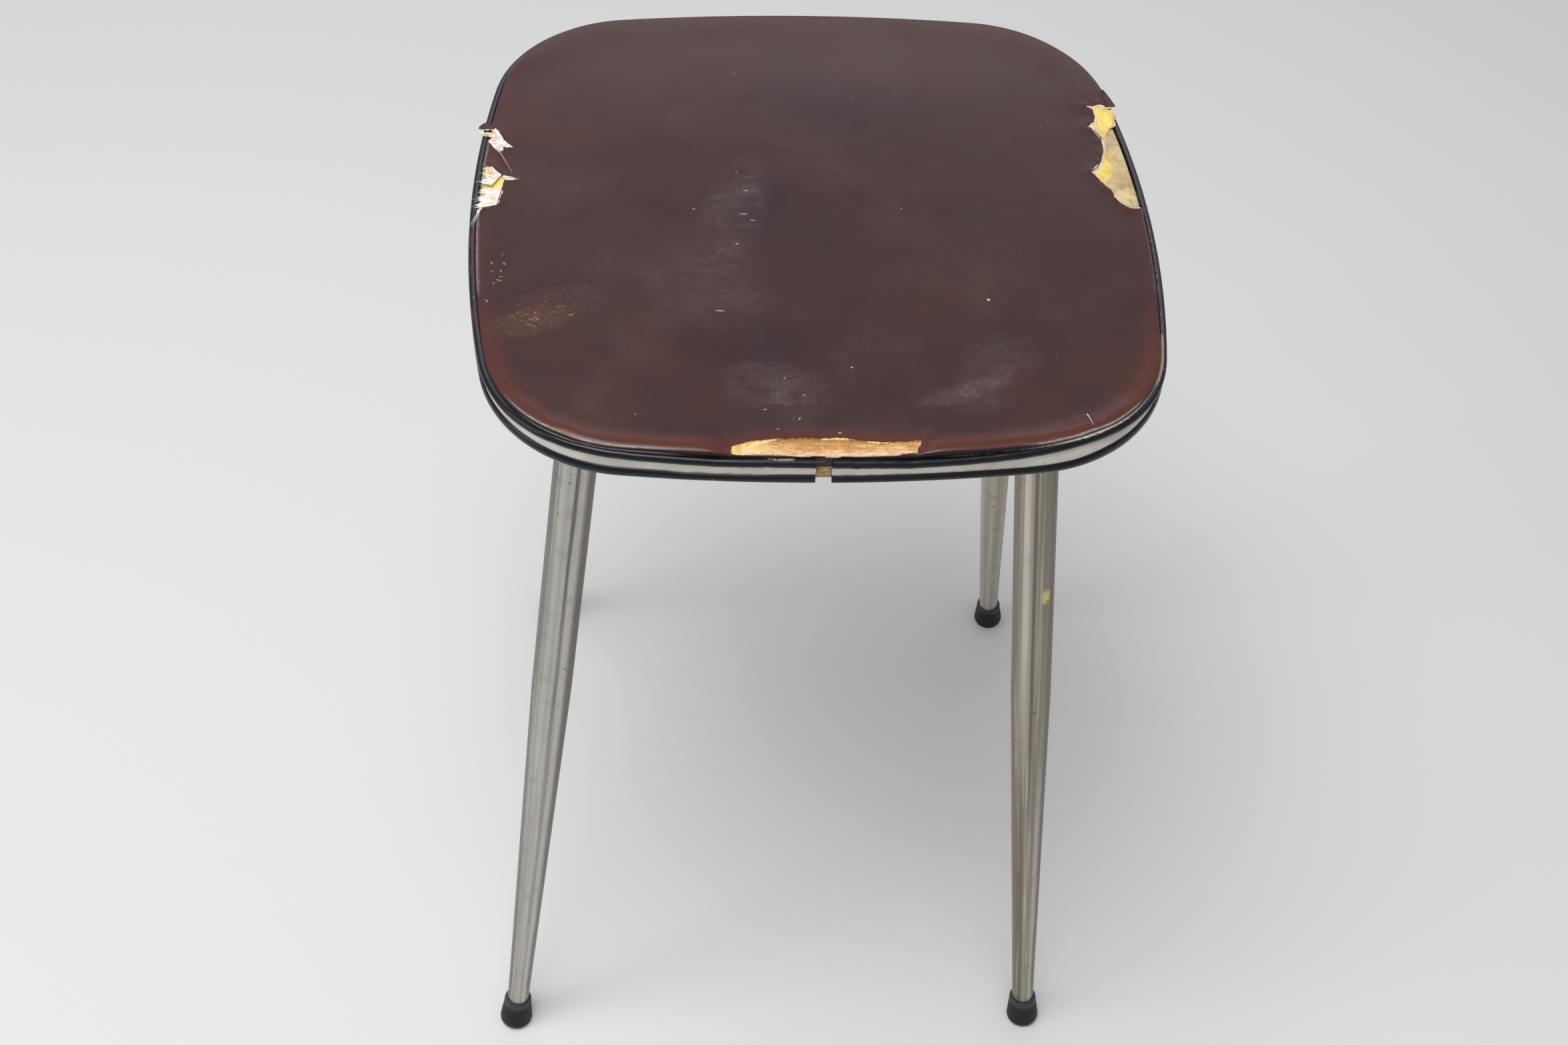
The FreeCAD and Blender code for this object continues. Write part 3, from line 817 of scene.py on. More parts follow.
def staple_slot():
    """Outline on the flat cover of the slot that the staple presses into it."""
    slot = []
    for x, height in (
        (staple_left, staple_top), (staple_left, staple_foot),
        (staple_right, staple_foot), (staple_right, staple_top),
    ):
        reach = front_bow_radius - rim_inset + shoulder_quarter + shoulder_base - height
        slot.append((x, front_bow_radius - half_depth - math.sqrt(reach * reach - x * x)))
    return slot


def seat_cover():
    holes = list(tears.values()) + [staple_slot()]
    loops = [ring(skirt_end)] + [ring(shoulder_quarter * i / 6) for i in range(7)]
    loops += [ring(-1.2), ring(-3.0, 2.4), ring(shoulder_quarter + 1.8)] + holes
    points = grid_points(4.0, rim_inset + 5.0) + near_points(tears.values(), 1.3, 5.0)
    return solid_between(
        "seat_cover", loops, points,
        lambda x, y: on_seat(x, y, skirt_end, holes),
        lambda x, y: cover_place(x, y, 0.0),
        lambda x, y: cover_place(x, y, vinyl_thickness),
        {"rim": rim_mark, "skirt": shaded_skirt_mark, "edge": sheen_and_rubbed_edge_mark, "foot": foot_mark},
    )


def backing_hole(name, spread):
    """A tear's outline drawn in, with tongues of the woven backing that reach into it."""
    loop = ragged(tears[name], 0.5, 0.35, 20.0 + spread)
    made = []
    for i, (x, y) in enumerate(loop):
        along = (Vector(loop[(i + 1) % len(loop)]) - Vector(loop[i - 1])).normalized()
        nx, ny = -along.y, along.x
        inward = 1.0 if inside(x + nx * 0.3, y + ny * 0.3, tears[name]) else -1.0
        amount = spread * (0.3 + 1.3 * max(0.0, noise.noise(Vector((x / 2.6, y / 2.6, spread)))))
        if name == "front":
            amount *= 2.6 if y < -141 else 0.12
        made.append((x + nx * inward * amount, y + ny * inward * amount))
    return made


def cover_backing(name, spread):
    """The woven backing of the vinyl where it shows round one tear."""
    hole = backing_hole(name, spread)
    edge = tears[name]
    tree = tear_trees[name]
    rings = [ring(beyond) for beyond in (0, shoulder_quarter / 2, shoulder_quarter, backing_end)]
    return solid_between(
        name + "_backing", [hole, edge] + rings, near_points([edge], 1.1, backing_reach + 0.4),
        lambda x, y: on_seat(x, y, backing_end, [hole]) and distance_to(x, y, tree) < backing_reach,
        lambda x, y: cover_place(x, y, vinyl_thickness + 0.02),
        lambda x, y: cover_place(x, y, cover_thickness),
    )


def foam_top(x, y):
    """Place on the foam's face, which thins out toward where it is worn away."""
    place = cover_place(x, y, cover_thickness + 0.06)
    away = min(distance_to(x, y, tree) for tree in bare_trees.values())
    lump = 0.5 + 0.5 * noise.noise(Vector((x / 1.6, y / 1.6, 2.0)))
    cap = board_top + 0.12 + away * (0.35 + 0.45 * lump)
    if place.z > cap and away < 6:
        place.z = cap
    place.z = max(place.z, board_top + 0.08)
    return place


def foam_bottom(x, y):
    place = foam_top(x, y)
    return Vector((place.x, place.y, board_top + 0.02))


def foam_slab():
    holes = list(bares.values())
    points = grid_points(6.0, rim_inset + 3.0) + near_points(holes, 0.9, 7.0)
    return solid_between(
        "foam_slab", [ring(1.0, 2.4), ring(0, 2.4)] + holes, points,
        lambda x, y: on_seat(x, y, 1.0, holes), foam_top, foam_bottom,
    )


# Trim: black edging and its pale insert, carried round the seat's edge past a gap at the front

def trim_arcs():
    """The seat's edge from one side of the trim's gap to the other."""
    x, y, radius, start, end = outline[0]
    right = 1.5 * math.pi + math.asin((trim_gap_middle + trim_gap_width / 2) / radius)
    left = 1.5 * math.pi + math.asin((trim_gap_middle - trim_gap_width / 2) / radius)
    return [(x, y, radius, right, end)] + outline[1:] + [(x, y, radius, start, left)]


def bead_shift(x, y):
    """How far the upper bead stands up and how far in it leans at a place on the edge."""
    lift = along_front(front_bead, x, y)
    lift += 0.22 * noise.noise(Vector((x / 30, y / 30, 12.0)))
    if -44 < x < 39 and y < -100:
        lift += 0.45 * noise.noise(Vector((x / 3.5, y / 30, 14.0)))
    return (lift * 0.62, lift * 0.38) if lift > 0 else (lift, 0.0)


def half_round(inset, height, rise):
    """The outline of a bead, from its foot round to its top."""
    turns = [math.radians(-90 + 18 * i) for i in range(11)]
    return [(inset - bead_radius * math.cos(turn), height + rise * math.sin(turn)) for turn in turns]


def edging_outline(x, y):
    lift, lean = bead_shift(x, y)
    top = trim_top + lift
    rise = bead_radius + lower_bead_drop / 2 + along_front(lower_bead, x, y)
    back = bead_radius + web_thickness
    return (
        half_round(bead_radius, board_underside - lower_bead_drop + rise, rise)
        + half_round(bead_radius + lean, top - upper_bead_rise, upper_bead_rise)
        + [(back - 0.25 + lean, top), (back + lean, top - 0.25), (back, top - 6.0), (back, board_underside)]
    )


def insert_outline(x, y):
    lift, lean = bead_shift(x, y)
    foot = board_underside + 2 * (bead_radius + along_front(lower_bead, x, y)) + 0.05
    top = trim_top - 2 * upper_bead_rise - 0.05 + lift
    face = bead_radius - strip_thickness
    middle = (foot + top) / 2
    front = [(face, foot), (face - 0.12, middle), (face + lean, top)]
    return [(bead_radius, foot)] + front + [(bead_radius + lean, top), (bead_radius + lean / 2, middle)]


def lofted(name, rows, sharp=35.0):
    """Closed mesh through outlines in millimetres that all have as many points."""
    work = bmesh.new()
    rows = [[work.verts.new(place * mm) for place in row] for row in rows]
    for row, after in zip(rows, rows[1:]):
        for k in range(len(row)):
            work.faces.new((row[k - 1], row[k], after[k], after[k - 1]))
    work.faces.new(rows[0])
    work.faces.new(rows[-1][::-1])
    bmesh.ops.recalc_face_normals(work, faces=work.faces)
    return from_work(name, work, sharp)


def from_work(name, work, sharp=35.0):
    """A piece from a mesh that has been worked on, in metres."""
    mesh = bpy.data.meshes.new(name)
    work.to_mesh(mesh)
    work.free()
    return finished(name, mesh, sharp)


def carried_round(name, outline_at):
    """Closed mesh of an outline of (inset, height) points carried along the seat's edge."""
    rows = []
    for centre_x, centre_y, radius, nx, ny in stepped(trim_arcs(), 2.4, 1):
        x, y = centre_x + radius * nx, centre_y + radius * ny
        rows.append([Vector((x - nx * inset, y - ny * inset, z)) for inset, z in outline_at(x, y)])
    return lofted(name, rows, 40.0)


# Finishes

def valley_dust(finish):
    """Pale dust in the groove between the cover and the trim: specks that thicken to the front corners."""
    left = finish.x.fade(-134, -118) * finish.x.fade(-42, -70)
    right = finish.x.fade(30, 52) * 0.5 + finish.x.fade(60, 110) * 0.4
    grains = finish.cloud(1.5, 5, 0.75) + (left * 0.9 + right) * 0.5
    return finish.y.fade(-85, -100) * grains.fade(0.68, 1.0)


def brown_vinyl():
    finish = Finish("brown_vinyl", ior=1.42)
    rim = finish.mark("rim")
    skirt = finish.mark("skirt")
    red = finish.cloud(0.018, 3, 0.5, twist=0.6).fade(0.42, 0.68)
    warm = finish.patches(
        (-88, -60, 75, 80), (60, -45, 60, 30, 0.4), (-95, 70, 65, 45), (56, 89, 40, 20), (100, -110, 60, 30),
    )
    dark = finish.patches((-5, -4, 42, 34), (28, 77, 60, 26), (-33, -82, 44, 20))
    finish.base = finish.mix((61, 39, 40), (74, 42, 39), red * 0.5 + warm * 0.35)
    finish.coat((50, 33, 37), dark * 0.55 + finish.cloud(0.03, 2, 0.5).fade(0.5, 0.75) * 0.35)
    # Painted sheen: the seat is lighter and greyer towards the back.
    finish.coat((80, 58, 58), finish.y.fade(40, 140) * 0.6)
    finish.coat((92, 46, 35), rim * (0.42 + 0.62 * finish.cloud(0.05, 2)))
    # Painted shade: the skirt at the front is darkened nearly to black, standing in for the dark
    # surroundings it reflects.
    finish.coat((20, 10, 12), skirt * 0.94)
    # Painted highlight and sheen: a pale line along the shoulder, partly rubbed wear.
    sheen_and_rubbed_edge = finish.mark("edge").fade(0.1, 0.9) * (0.7 + 0.5 * finish.cloud(0.35, 3, 0.7).fade(0.4, 0.6))
    finish.coat((184, 174, 174), sheen_and_rubbed_edge * 0.7)
    foot = finish.mark("foot") * valley_dust(finish) * (1 - finish.patch(-3, -146, 42, 12) * 0.8)
    finish.coat((208, 206, 194), foot * 0.85)
    scratch = finish.patch(57, -32, 21, 0.5, 0.38) * finish.cloud(0.4, 2).fade(0.35, 0.6)
    finish.coat((116, 62, 54), scratch * 0.45)
    dust = dusty_marks(finish)
    finish.coat(finish.mix((138, 130, 130), (164, 122, 88), finish.patch(-120, -67, 30, 16)), dust)
    marks = seat_specks(finish) + pale_nicks(finish) * (0.4 + 0.8 * finish.cloud(0.3, 2).fade(0.4, 0.6))
    finish.coat((206, 196, 176), marks)
    gloss_loss = skirt * 0.08 + dust * 0.35 + marks * 0.3 + foot * 0.4
    waves = finish.relief(finish.cloud(0.035, 2, 0.5), 0.5)
    return finish.done(
        0.3 + 0.06 * finish.cloud(0.06, 3) - rim * 0.04 + gloss_loss,
        finish.cells(1.6) * 0.5 + finish.cloud(2.4, 3, 0.6), 0.012, waves,
    )


# Short pale nicks in the cover: place, length and turn
nicks = [
    (-134.3, -27.8, 1.1, -0.85), (-139.0, -32.5, 1.0, -0.85), (-133.6, -33.6, 1.3, -0.85),
    (-138.4, -38.0, 1.2, -0.85), (-134.8, -38.0, 0.8, -0.85), (-134.6, -41.6, 1.2, -0.4),
    (-135.3, -43.7, 1.5, -0.5), (-137.6, -45.2, 0.9, -0.85), (-140.1, -55.4, 1.3, -0.85),
    (-17.9, -103.4, 1.0, 1.0), (-28.9, -95.7, 0.7, 0.2), (-10.9, -113.0, 1.1, 0.7),
    (-26.6, -120.1, 1.0, 0.1), (-13.0, -124.7, 0.8, 1.2), (-21.9, -129.5, 0.7, 0.4),
    (-33.3, 22.8, 1.0, -0.8), (-31.3, -5.2, 2.2, -0.1), (-27.1, -9.5, 1.8, -0.3),
    (-29.9, 10.3, 1.6, -0.4), (-52.8, -2.0, 1.2, -0.6), (-34.8, -24.6, 0.9, 0.3),
    (-43.1, -65.7, 2.4, -0.1), (-104.6, -66.6, 1.4, 0.1),
]


def pale_nicks(finish):
    """Small broken nicks, each a few tenths of a millimetre wide."""
    small = [(x, y, length, 0.32, turn) for x, y, length, turn in nicks]
    found = finish.patches((2.7, -131.5, 1.1, 0.45), *small)
    return found * finish.cloud(1.1, 3, 0.6).fade(0.3, 0.55) * 0.8


def dusty_marks(finish):
    """Pale rubbed dust and hairlines on the seat, as a share from 0 to 1."""
    fine = finish.cloud(0.55, 5, 0.7).fade(0.3, 0.75)
    soft = finish.cloud(0.06, 5, 0.6, twist=0.5).fade(0.36, 0.62)
    wisps = finish.cloud(0.12, 5, 0.68, (0.55, 1.5, 1), 0.4).fade(0.46, 0.72)
    hairlines = finish.cloud(0.35, 4, 0.6, (0.5, 1.3, 1)).fade(0.46, 0.78)
    flecks = finish.cloud(0.55, 3, 0.6, (0.7, 1.2, 1), 0.7).fade(0.55, 0.68)
    front = finish.patches((-25, -108, 22, 17, -0.3), (-12, -113, 18, 15, 0.6, 0.7))
    comet = finish.patches((55, -111, 25, 6, 0.3), (60, -117, 17, 7, 0.15, 0.4))
    tail = finish.patch(70, -97, 26, 18, 0.9)
    middle = finish.patches((-36, -4, 16, 46, -0.25), (-30, -2, 8, 30, -0.1, 0.5))
    rubbed = finish.patches((-122, -70, 21, 10, 0.12, 0.8), (-110, -60, 26, 13, 0.2, 0.5))
    mark = front * (0.05 + 0.5 * soft + 0.7 * wisps) * (0.4 + 0.8 * fine) * 0.34
    mark = mark + comet * (0.3 + 0.2 * hairlines + 0.5 * wisps) * (0.35 + 0.9 * fine) * 0.7
    mark = mark + tail * (0.05 + 0.4 * soft + 0.6 * wisps) * (0.4 + 0.7 * fine) * 0.36
    mark = mark + middle * (0.03 + 0.4 * soft + 0.6 * wisps) * (0.4 + 0.7 * fine) * 0.42
    mark = mark + finish.patch(-50, -44, 32, 26) * (0.03 + 0.3 * soft + 0.5 * wisps) * 0.22
    mark = mark + rubbed * (0.08 + flecks * (0.2 + soft) + fine * 0.16) * 0.85
    wide = finish.cloud(0.02, 4, 0.6).fade(0.5, 0.8) * (0.4 + fine)
    return (mark * 0.5 + wide * 0.07).at_most(0.6)


def seat_specks(finish):
    """Scattered pale specks, a few tenths of a millimetre across."""
    few = finish.cells(0.07).fade(0.03, 0.01) * finish.cell_tone(0.07).fade(0.35, 0.4)
    tiny = finish.cells(0.13).fade(0.03, 0.014)
    return few * 0.6 + tiny * 0.5 + finish.patches((70, -59, 0.9, 0.8), (9.5, -98, 0.6, 0.4, 0.5))


def torn_backing(name, warm, pale=(252, 248, 238)):
    """Stained woven cotton."""
    finish = Finish(name, ior=1.42)
    threads = {"Vector": finish.place, "Scale": 0.55}
    along, across = [finish.node("ShaderNodeTexWave", {"bands_direction": way}, threads) for way in "XY"]
    stain = finish.cloud(0.3, 4, 0.6).fade(0.4, 0.7)
    finish.base = finish.mix(pale, warm, stain)
    finish.coat((150, 96, 62), finish.cloud(1.1, 3).fade(0.62, 0.8) * 0.6)
    weave = along.maths("MAXIMUM", across)
    return finish.done(0.85 + 0.1 * stain, weave + finish.cloud(3.0, 2), 0.12)


def yellow_foam():
    finish = Finish("yellow_foam", ior=1.4)
    pores = finish.cells(2.6).fade(0.05, 0.5)
    finish.base = finish.mix((240, 210, 130), (214, 164, 86), finish.cloud(0.22, 4, 0.65).fade(0.42, 0.7))
    finish.coat((246, 234, 196), finish.cloud(0.7, 3).fade(0.5, 0.72) * 0.75)
    finish.coat((250, 226, 120), finish.patches((137, 66, 7, 12), (132, 30, 7, 10), (-138, 19, 5, 6)) * 0.6)
    finish.base = finish.mix((204, 152, 80), finish.base, 0.8 + 0.2 * pores)
    warm_end = finish.mix((232, 176, 92), (240, 214, 160), finish.cloud(0.3, 4, 0.7).fade(0.42, 0.6))
    finish.coat(warm_end, finish.patch(-30, -139, 12, 7) * 0.85)
    return finish.done(0.9 - 0.1 * pores, pores * 0.25 + finish.cloud(0.8, 4, 0.7), 0.2)


def chipboard():
    """Pressed wood chips, stained ochre by old foam at the front tear."""
    finish = Finish("chipboard", ior=1.42)
    inset = finish.inset()
    over_board = finish.z.fade(board_top - 0.6, board_top - 0.1)
    tone = finish.cell_tone(0.5, (0.8, 1.2, 1.6))
    fibres = finish.cloud(0.8, 4, 0.7, (0.6, 1.3, 2.0))
    finish.base = finish.mix((176, 157, 125), (196, 180, 150), tone)
    finish.coat((168, 146, 130), finish.cloud(0.14, 3, 0.6).fade(0.45, 0.65) * 0.6)
    finish.coat((150, 126, 98), fibres.fade(0.52, 0.72) * 0.55)
    finish.coat((104, 80, 58), finish.cells(0.8).fade(0.2, 0.08) * fibres.fade(0.4, 0.6) * 0.6)
    front = (finish.patch(-2, -140, 60, 16) * 2.0).at_most(1.0) * over_board
    lines = finish.cloud(0.6, 5, 0.75, (0.4, 1.5, 1))
    grain = finish.cloud(1.6, 4, 0.8, (0.7, 1.2, 1))
    cream = finish.cloud(0.16, 5, 0.75, (0.5, 1.8, 1)).fade(0.48, 0.62) * inset.fade(13, 8)
    ochre = finish.mix((206, 152, 88), (170, 110, 54), lines.fade(0.42, 0.62))
    ochre = finish.mix(ochre, (236, 200, 142), grain.fade(0.5, 0.36) * 0.5 + cream * 0.7)
    ochre = finish.mix(ochre, (146, 94, 48), inset.fade(9.5, 12.5) * 0.4)
    ochre = finish.mix(ochre, (112, 70, 36), grain.fade(0.54, 0.64) * (0.35 + 0.5 * inset.fade(8, 11)))
    pink = finish.mix((236, 208, 176), (220, 164, 120), lines.fade(0.44, 0.6))
    low = inset.fade(8.2, 4.6) * (0.25 + finish.cloud(0.3, 3).fade(0.3, 0.5) * 0.75)
    ochre = finish.mix(ochre, pink, low * 0.85)
    ochre = finish.mix(ochre, (250, 222, 150), finish.x.fade(-22, -34) * 0.75)
    finish.coat(ochre, front * (0.85 + 0.3 * finish.cloud(0.25, 3)))
    edge_grain = finish.cloud(0.6, 4, 0.75, (0.7, 1, 1.6))
    worn_wood = finish.mix((204, 164, 110), (126, 86, 50), edge_grain.fade(0.5, 0.6))
    worn_wood = finish.mix(worn_wood, (238, 206, 152), edge_grain.fade(0.45, 0.36))
    bare_edge = finish.patch(trim_gap_middle, -146, 9, 5) * finish.z.fade(board_top - 0.2, board_top - 0.8)
    finish.coat(worn_wood, bare_edge)
    side = finish.patch(140, 34, 9, 38) * over_board
    finish.coat((222, 196, 138), side * finish.cloud(0.3, 4, 0.7).fade(0.54, 0.68) * 0.45)
    finish.coat((222, 184, 116), finish.patch(138, 34, 12, 42) * over_board * 0.24)
    cloudy = finish.cloud(0.18, 4, 0.7)
    lighter = finish.patches((138, 12, 10, 14), (141, 40, 7, 12, 0, 0.6)) * over_board
    finish.coat((232, 208, 152), lighter * cloudy.fade(0.36, 0.56) * 0.75)
    darker = finish.patches((141, 57, 7, 6), (142, 22, 5, 6)) * over_board
    finish.coat((170, 140, 104), darker * cloudy.fade(0.6, 0.44) * 0.7)
    # Painted shade: faces that point down, such as the board's underside, are darker.
    facing_up = finish.axis(finish.node("ShaderNodeNewGeometry", output="Normal"), 2)
    finish.coat((150, 128, 98), facing_up.fade(-0.5, -0.9) * 0.5)
    return finish.done(0.82 + 0.12 * fibres, tone * 0.4 + fibres * 0.7 + grain * front * 0.8, 0.12)


def black_trim():
    finish = Finish("black_trim", ior=1.45, specular_ior_level=0.42)
    over = finish.z.fade(468.6, 469.6)
    inset = finish.inset()
    lumps = finish.cloud(0.75, 4, 0.7)
    near_tear = finish.patch(-4, -143.5, 44, 7)
    settled = inset.fade(2.35, 2.7) * over * 0.8 * valley_dust(finish)
    corner = finish.patch(112, -128, 24, 16) * inset.fade(1.9, 2.6) * lumps.fade(0.46, 0.58) * 0.5 * over
    worn = finish.patch(-21, -144, 6, 3) * inset.fade(1.2, 2.0) * over * lumps.fade(0.36, 0.5) * 0.9
    brown = finish.patch(142, -92, 12, 19) * inset.fade(1.4, 2.2) * over * (0.3 + lumps.fade(0.4, 0.52))
    beside = finish.patch(143, -36, 9, 50) * inset.fade(1.4, 2.3) * over
    beside = beside * finish.cloud(1.1, 3, 0.7).fade(0.58, 0.68)
    settled = (settled + corner + worn + brown + beside * 0.8).at_most(0.92)
    sides = finish.x.maths("ABSOLUTE").fade(118, 140) * inset.fade(0.8, 1.9) * over
    rubbed = finish.cloud(0.5, 4, 0.7, (0.4, 0.4, 3)).fade(0.62, 0.8) * 0.16
    finish.base = finish.mix((7, 10, 18), (46, 53, 66), rubbed)
    # Painted sheen with dust: the inner half of the trim along both sides is greyed.
    finish.coat((84, 86, 92), sides * 0.6)
    finish.coat(finish.mix((208, 206, 194), (166, 132, 94), brown + worn), settled)
    rusty = finish.patches((-149, -17, 6, 6.5), (-149, -34, 6, 6), (-149, -65, 6, 11))
    rusty = rusty * finish.cloud(0.2, 3, 0.6).fade(0.36, 0.5)
    finish.coat((84, 50, 42), rusty * 0.8)
    finish.coat((186, 188, 186), finish.cells(0.12).fade(0.05, 0.025) * 0.8)
    return finish.done(
        0.2 + 0.08 * finish.cloud(0.2, 3) + settled * 0.6 + near_tear * 0.2 + rusty * 0.3,
        lumps * settled + 0.08 * finish.cloud(0.3, 2) + worn * 0.5, 0.25,
    )


def pale_strip():
    finish = Finish("pale_strip", ior=1.5)
    finish.base = finish.mix((222, 214, 202), (200, 193, 181), finish.cloud(0.03, 3).fade(0.4, 0.65))
    finish.coat((112, 104, 92), finish.z.fade(463.2, 461.4) * finish.cloud(0.2, 3).fade(0.35, 0.7) * 0.7)
    finish.coat((84, 74, 62), finish.cells(0.1).fade(0.06, 0.03) * 0.7)
    return finish.done(0.42 + 0.15 * finish.cloud(0.12, 3), finish.cloud(0.25, 3), 0.08)


def turned_place(x, y, height):
    turn = math.radians(leg_set_turn)
    return Vector((x * math.cos(turn) - y * math.sin(turn), x * math.sin(turn) + y * math.cos(turn), height))


def leg_ends(corner):
    side, end = corners[corner]
    top = turned_place(side * leg_top_place[0], end * leg_top_place[1], board_underside)
    foot = turned_place(side * leg_foot_place[0], end * (leg_foot_place[1] + foot_drifts[corner]), 0.0)
    return top, foot


# Small dark chips in the plating, with their reach
chips = {
    "front_left": [
        ((-107.0, -89.2, 400.2), 0.45), ((-107.4, -90.0, 395.5), 0.65),
        ((-113.3, -91.4, 376.7), 0.6), ((-113.6, -106.7, 281.9), 0.7),
    ],
    "front_right": [((89.3, -93.1, 393.1), 0.65), ((89.7, -93.3, 390.6), 0.5)],
}
paint_fleck = (108.7, -106.7, 333.4)

# The plating's two main tones, laid in broad lengthwise streaks of painted reflection and darker on the
# front right leg as painted shade, and its lengthwise bands of painted reflection: how far round to the
# right as a share of the radius, half width, tone, and the heights between which a band grows to its full
# strength
plating_and_reflections = {
    "front_left": (
        (184, 180, 176), (162, 157, 151), [
            (-0.92, 0.24, (124, 118, 110), 0, 1), (-0.42, 0.2, (192, 190, 188), 150, 260),
            (-0.06, 0.12, (190, 188, 184), 0, 1), (0.13, 0.13, (112, 105, 94), 200, 300),
            (0.42, 0.2, (196, 194, 190), 0, 1), (0.8, 0.22, (128, 120, 108), 0, 1),
        ],
    ),
    "front_right": (
        (172, 164, 152), (144, 135, 121), [
            (-0.92, 0.22, (132, 123, 110), 0, 1), (-0.48, 0.22, (204, 198, 190), 220, 320),
            (-0.55, 0.4, (118, 109, 97), 260, 160), (-0.1, 0.13, (110, 102, 90), 120, 240),
            (0.45, 0.22, (186, 182, 176), 260, 160), (0.85, 0.25, (116, 109, 97), 0, 1),
        ],
    ),
    "rear_left": ((204, 198, 188), (172, 163, 150), []),
    "rear_right": ((208, 201, 189), (174, 164, 150), []),
}


def plated_tube(corner):
    """Worn nickel plating with pits and rubbed spots, and lengthwise streaks and bands of painted
    reflection.
    """
    finish = Finish(corner + "_plating")
    top, foot = leg_ends(corner)
    axis = (top - foot).normalized()
    across = Vector((0, 1, 0)).cross(axis).normalized()
    away = finish.vectors("SUBTRACT", finish.place, foot)
    ways = (across, axis.cross(across), axis)
    right, back, up = [finish.vectors("DOT_PRODUCT", away, way) for way in ways]
    side = right / (tube_foot_radius + (tube_radius - tube_foot_radius) * up.fade(0, taper_length))
    round_it = finish.node("ShaderNodeCombineXYZ", values={0: right, 1: back, 2: up * 0.01})
    wide = finish.cloud(0.16, 2, 0.5, round_it)
    narrow = finish.cloud(0.6, 3, 0.6, round_it)
    mottle = finish.cloud(0.09, 4, 0.65)
    light, dark, reflection_bands = plating_and_reflections[corner]
    # Painted reflection: broad lengthwise streaks between the two tones, and the bands below, stand in for
    # the surroundings seen in the metal.
    finish.base = finish.mix(light, dark, wide.fade(0.36, 0.62))
    for middle, reach, tone, start, end in reflection_bands:
        strength = (side - middle).maths("ABSOLUTE").fade(reach, reach * 0.3) * up.fade(start, end)
        finish.coat(tone, strength * 0.85)
    # Painted reflection: fine bright lengthwise streaks.
    finish.coat((236, 234, 230), narrow.fade(0.52, 0.7) * 0.3)
    finish.coat((140, 130, 116), mottle.fade(0.52, 0.78) * 0.45)
    chance = finish.cell_tone(0.11, (1, 1, 0.7), 1)
    pitted = finish.cells(0.11, (1, 1, 0.7)).fade(0.12, 0.05) * chance.fade(0.72, 0.8)
    pitted = pitted * finish.cloud(0.8, 2).fade(0.35, 0.5)
    for place, reach in chips.get(corner, ()):
        pitted = pitted + finish.vectors("DISTANCE", finish.place, place).fade(reach, reach * 0.7)
    covered = pitted = pitted.at_most(1.0)
    finish.coat((78, 66, 56), pitted * 0.7)
    finish.coat((244, 242, 238), finish.cells(0.17).fade(0.05, 0.03) * 0.8)
    if corner == "front_right":
        middle = finish.vectors("SUBTRACT", finish.place, paint_fleck)
        reach = finish.vectors("LENGTH", finish.vectors("MULTIPLY", middle, (1.0, 0.8, 0.55)), (0, 0, 0))
        fleck = reach.fade(3.0, 1.6) * (0.2 + finish.cloud(0.5, 4, 0.7).fade(0.4, 0.5))
        finish.coat(finish.mix((216, 196, 124), (232, 218, 160), finish.cloud(0.9, 2)), fleck)
        covered = (covered + fleck).at_most(1.0)
    return finish.done(
        0.3 + 0.12 * wide + 0.12 * mottle + covered * 0.3,
        narrow * 0.4 + mottle * 0.5 - pitted, 0.08, metallic=1 - covered * 0.85,
    )


def black_rubber():
    finish = Finish("black_rubber", ior=1.42)
    # Painted sheen with wear: the cap's top edge is lighter and blue-grey.
    worn = finish.z.fade(15.0, 18.6)
    scuffed = finish.cloud(0.35, 4, 0.7)
    finish.base = finish.mix((14, 15, 17), (66, 76, 84), worn * (0.3 + 0.5 * scuffed))
    finish.coat((96, 88, 76), finish.z.fade(3.0, 0.4) * scuffed.fade(0.4, 0.7) * 0.6)
    finish.coat((120, 118, 110), finish.cells(0.3).fade(0.05, 0.03) * 0.6)
    return finish.done(0.55 - 0.14 * worn + 0.1 * scuffed, scuffed, 0.12)


def zinc_plate():
    finish = Finish("zinc_plate", metallic=1.0)
    tone = finish.cell_tone(0.16)
    grime = finish.cloud(0.08, 4, 0.65).fade(0.45, 0.75)
    finish.base = finish.mix((168, 168, 162), (190, 190, 186), tone)
    finish.coat((110, 98, 80), grime * 0.55)
    return finish.done(0.36 + 0.1 * tone + 0.2 * grime, finish.cloud(0.5, 3), 0.04)


def bright_wire():
    finish = Finish("bright_wire", metallic=1.0)
    dull = finish.cloud(0.4, 3)
    finish.base = finish.mix((226, 228, 228), (150, 138, 122), dull.fade(0.5, 0.8))
    return finish.done(0.25 + 0.25 * dull, finish.cloud(2.0, 2), 0.02)


def grey_plug():
    finish = Finish("grey_plug", ior=1.5)
    mottle = finish.cloud(0.2, 3)
    finish.base = finish.mix((70, 70, 70), (54, 54, 55), mottle)
    return finish.done(0.5 + 0.15 * mottle, finish.cloud(0.8, 3), 0.05)


def dress(node, material):
    """Give a CAD node's object its finish in place of its plain one."""
    mesh = nodes[node].data
    mesh.materials.clear()
    mesh.materials.append(material)


# Loose bits

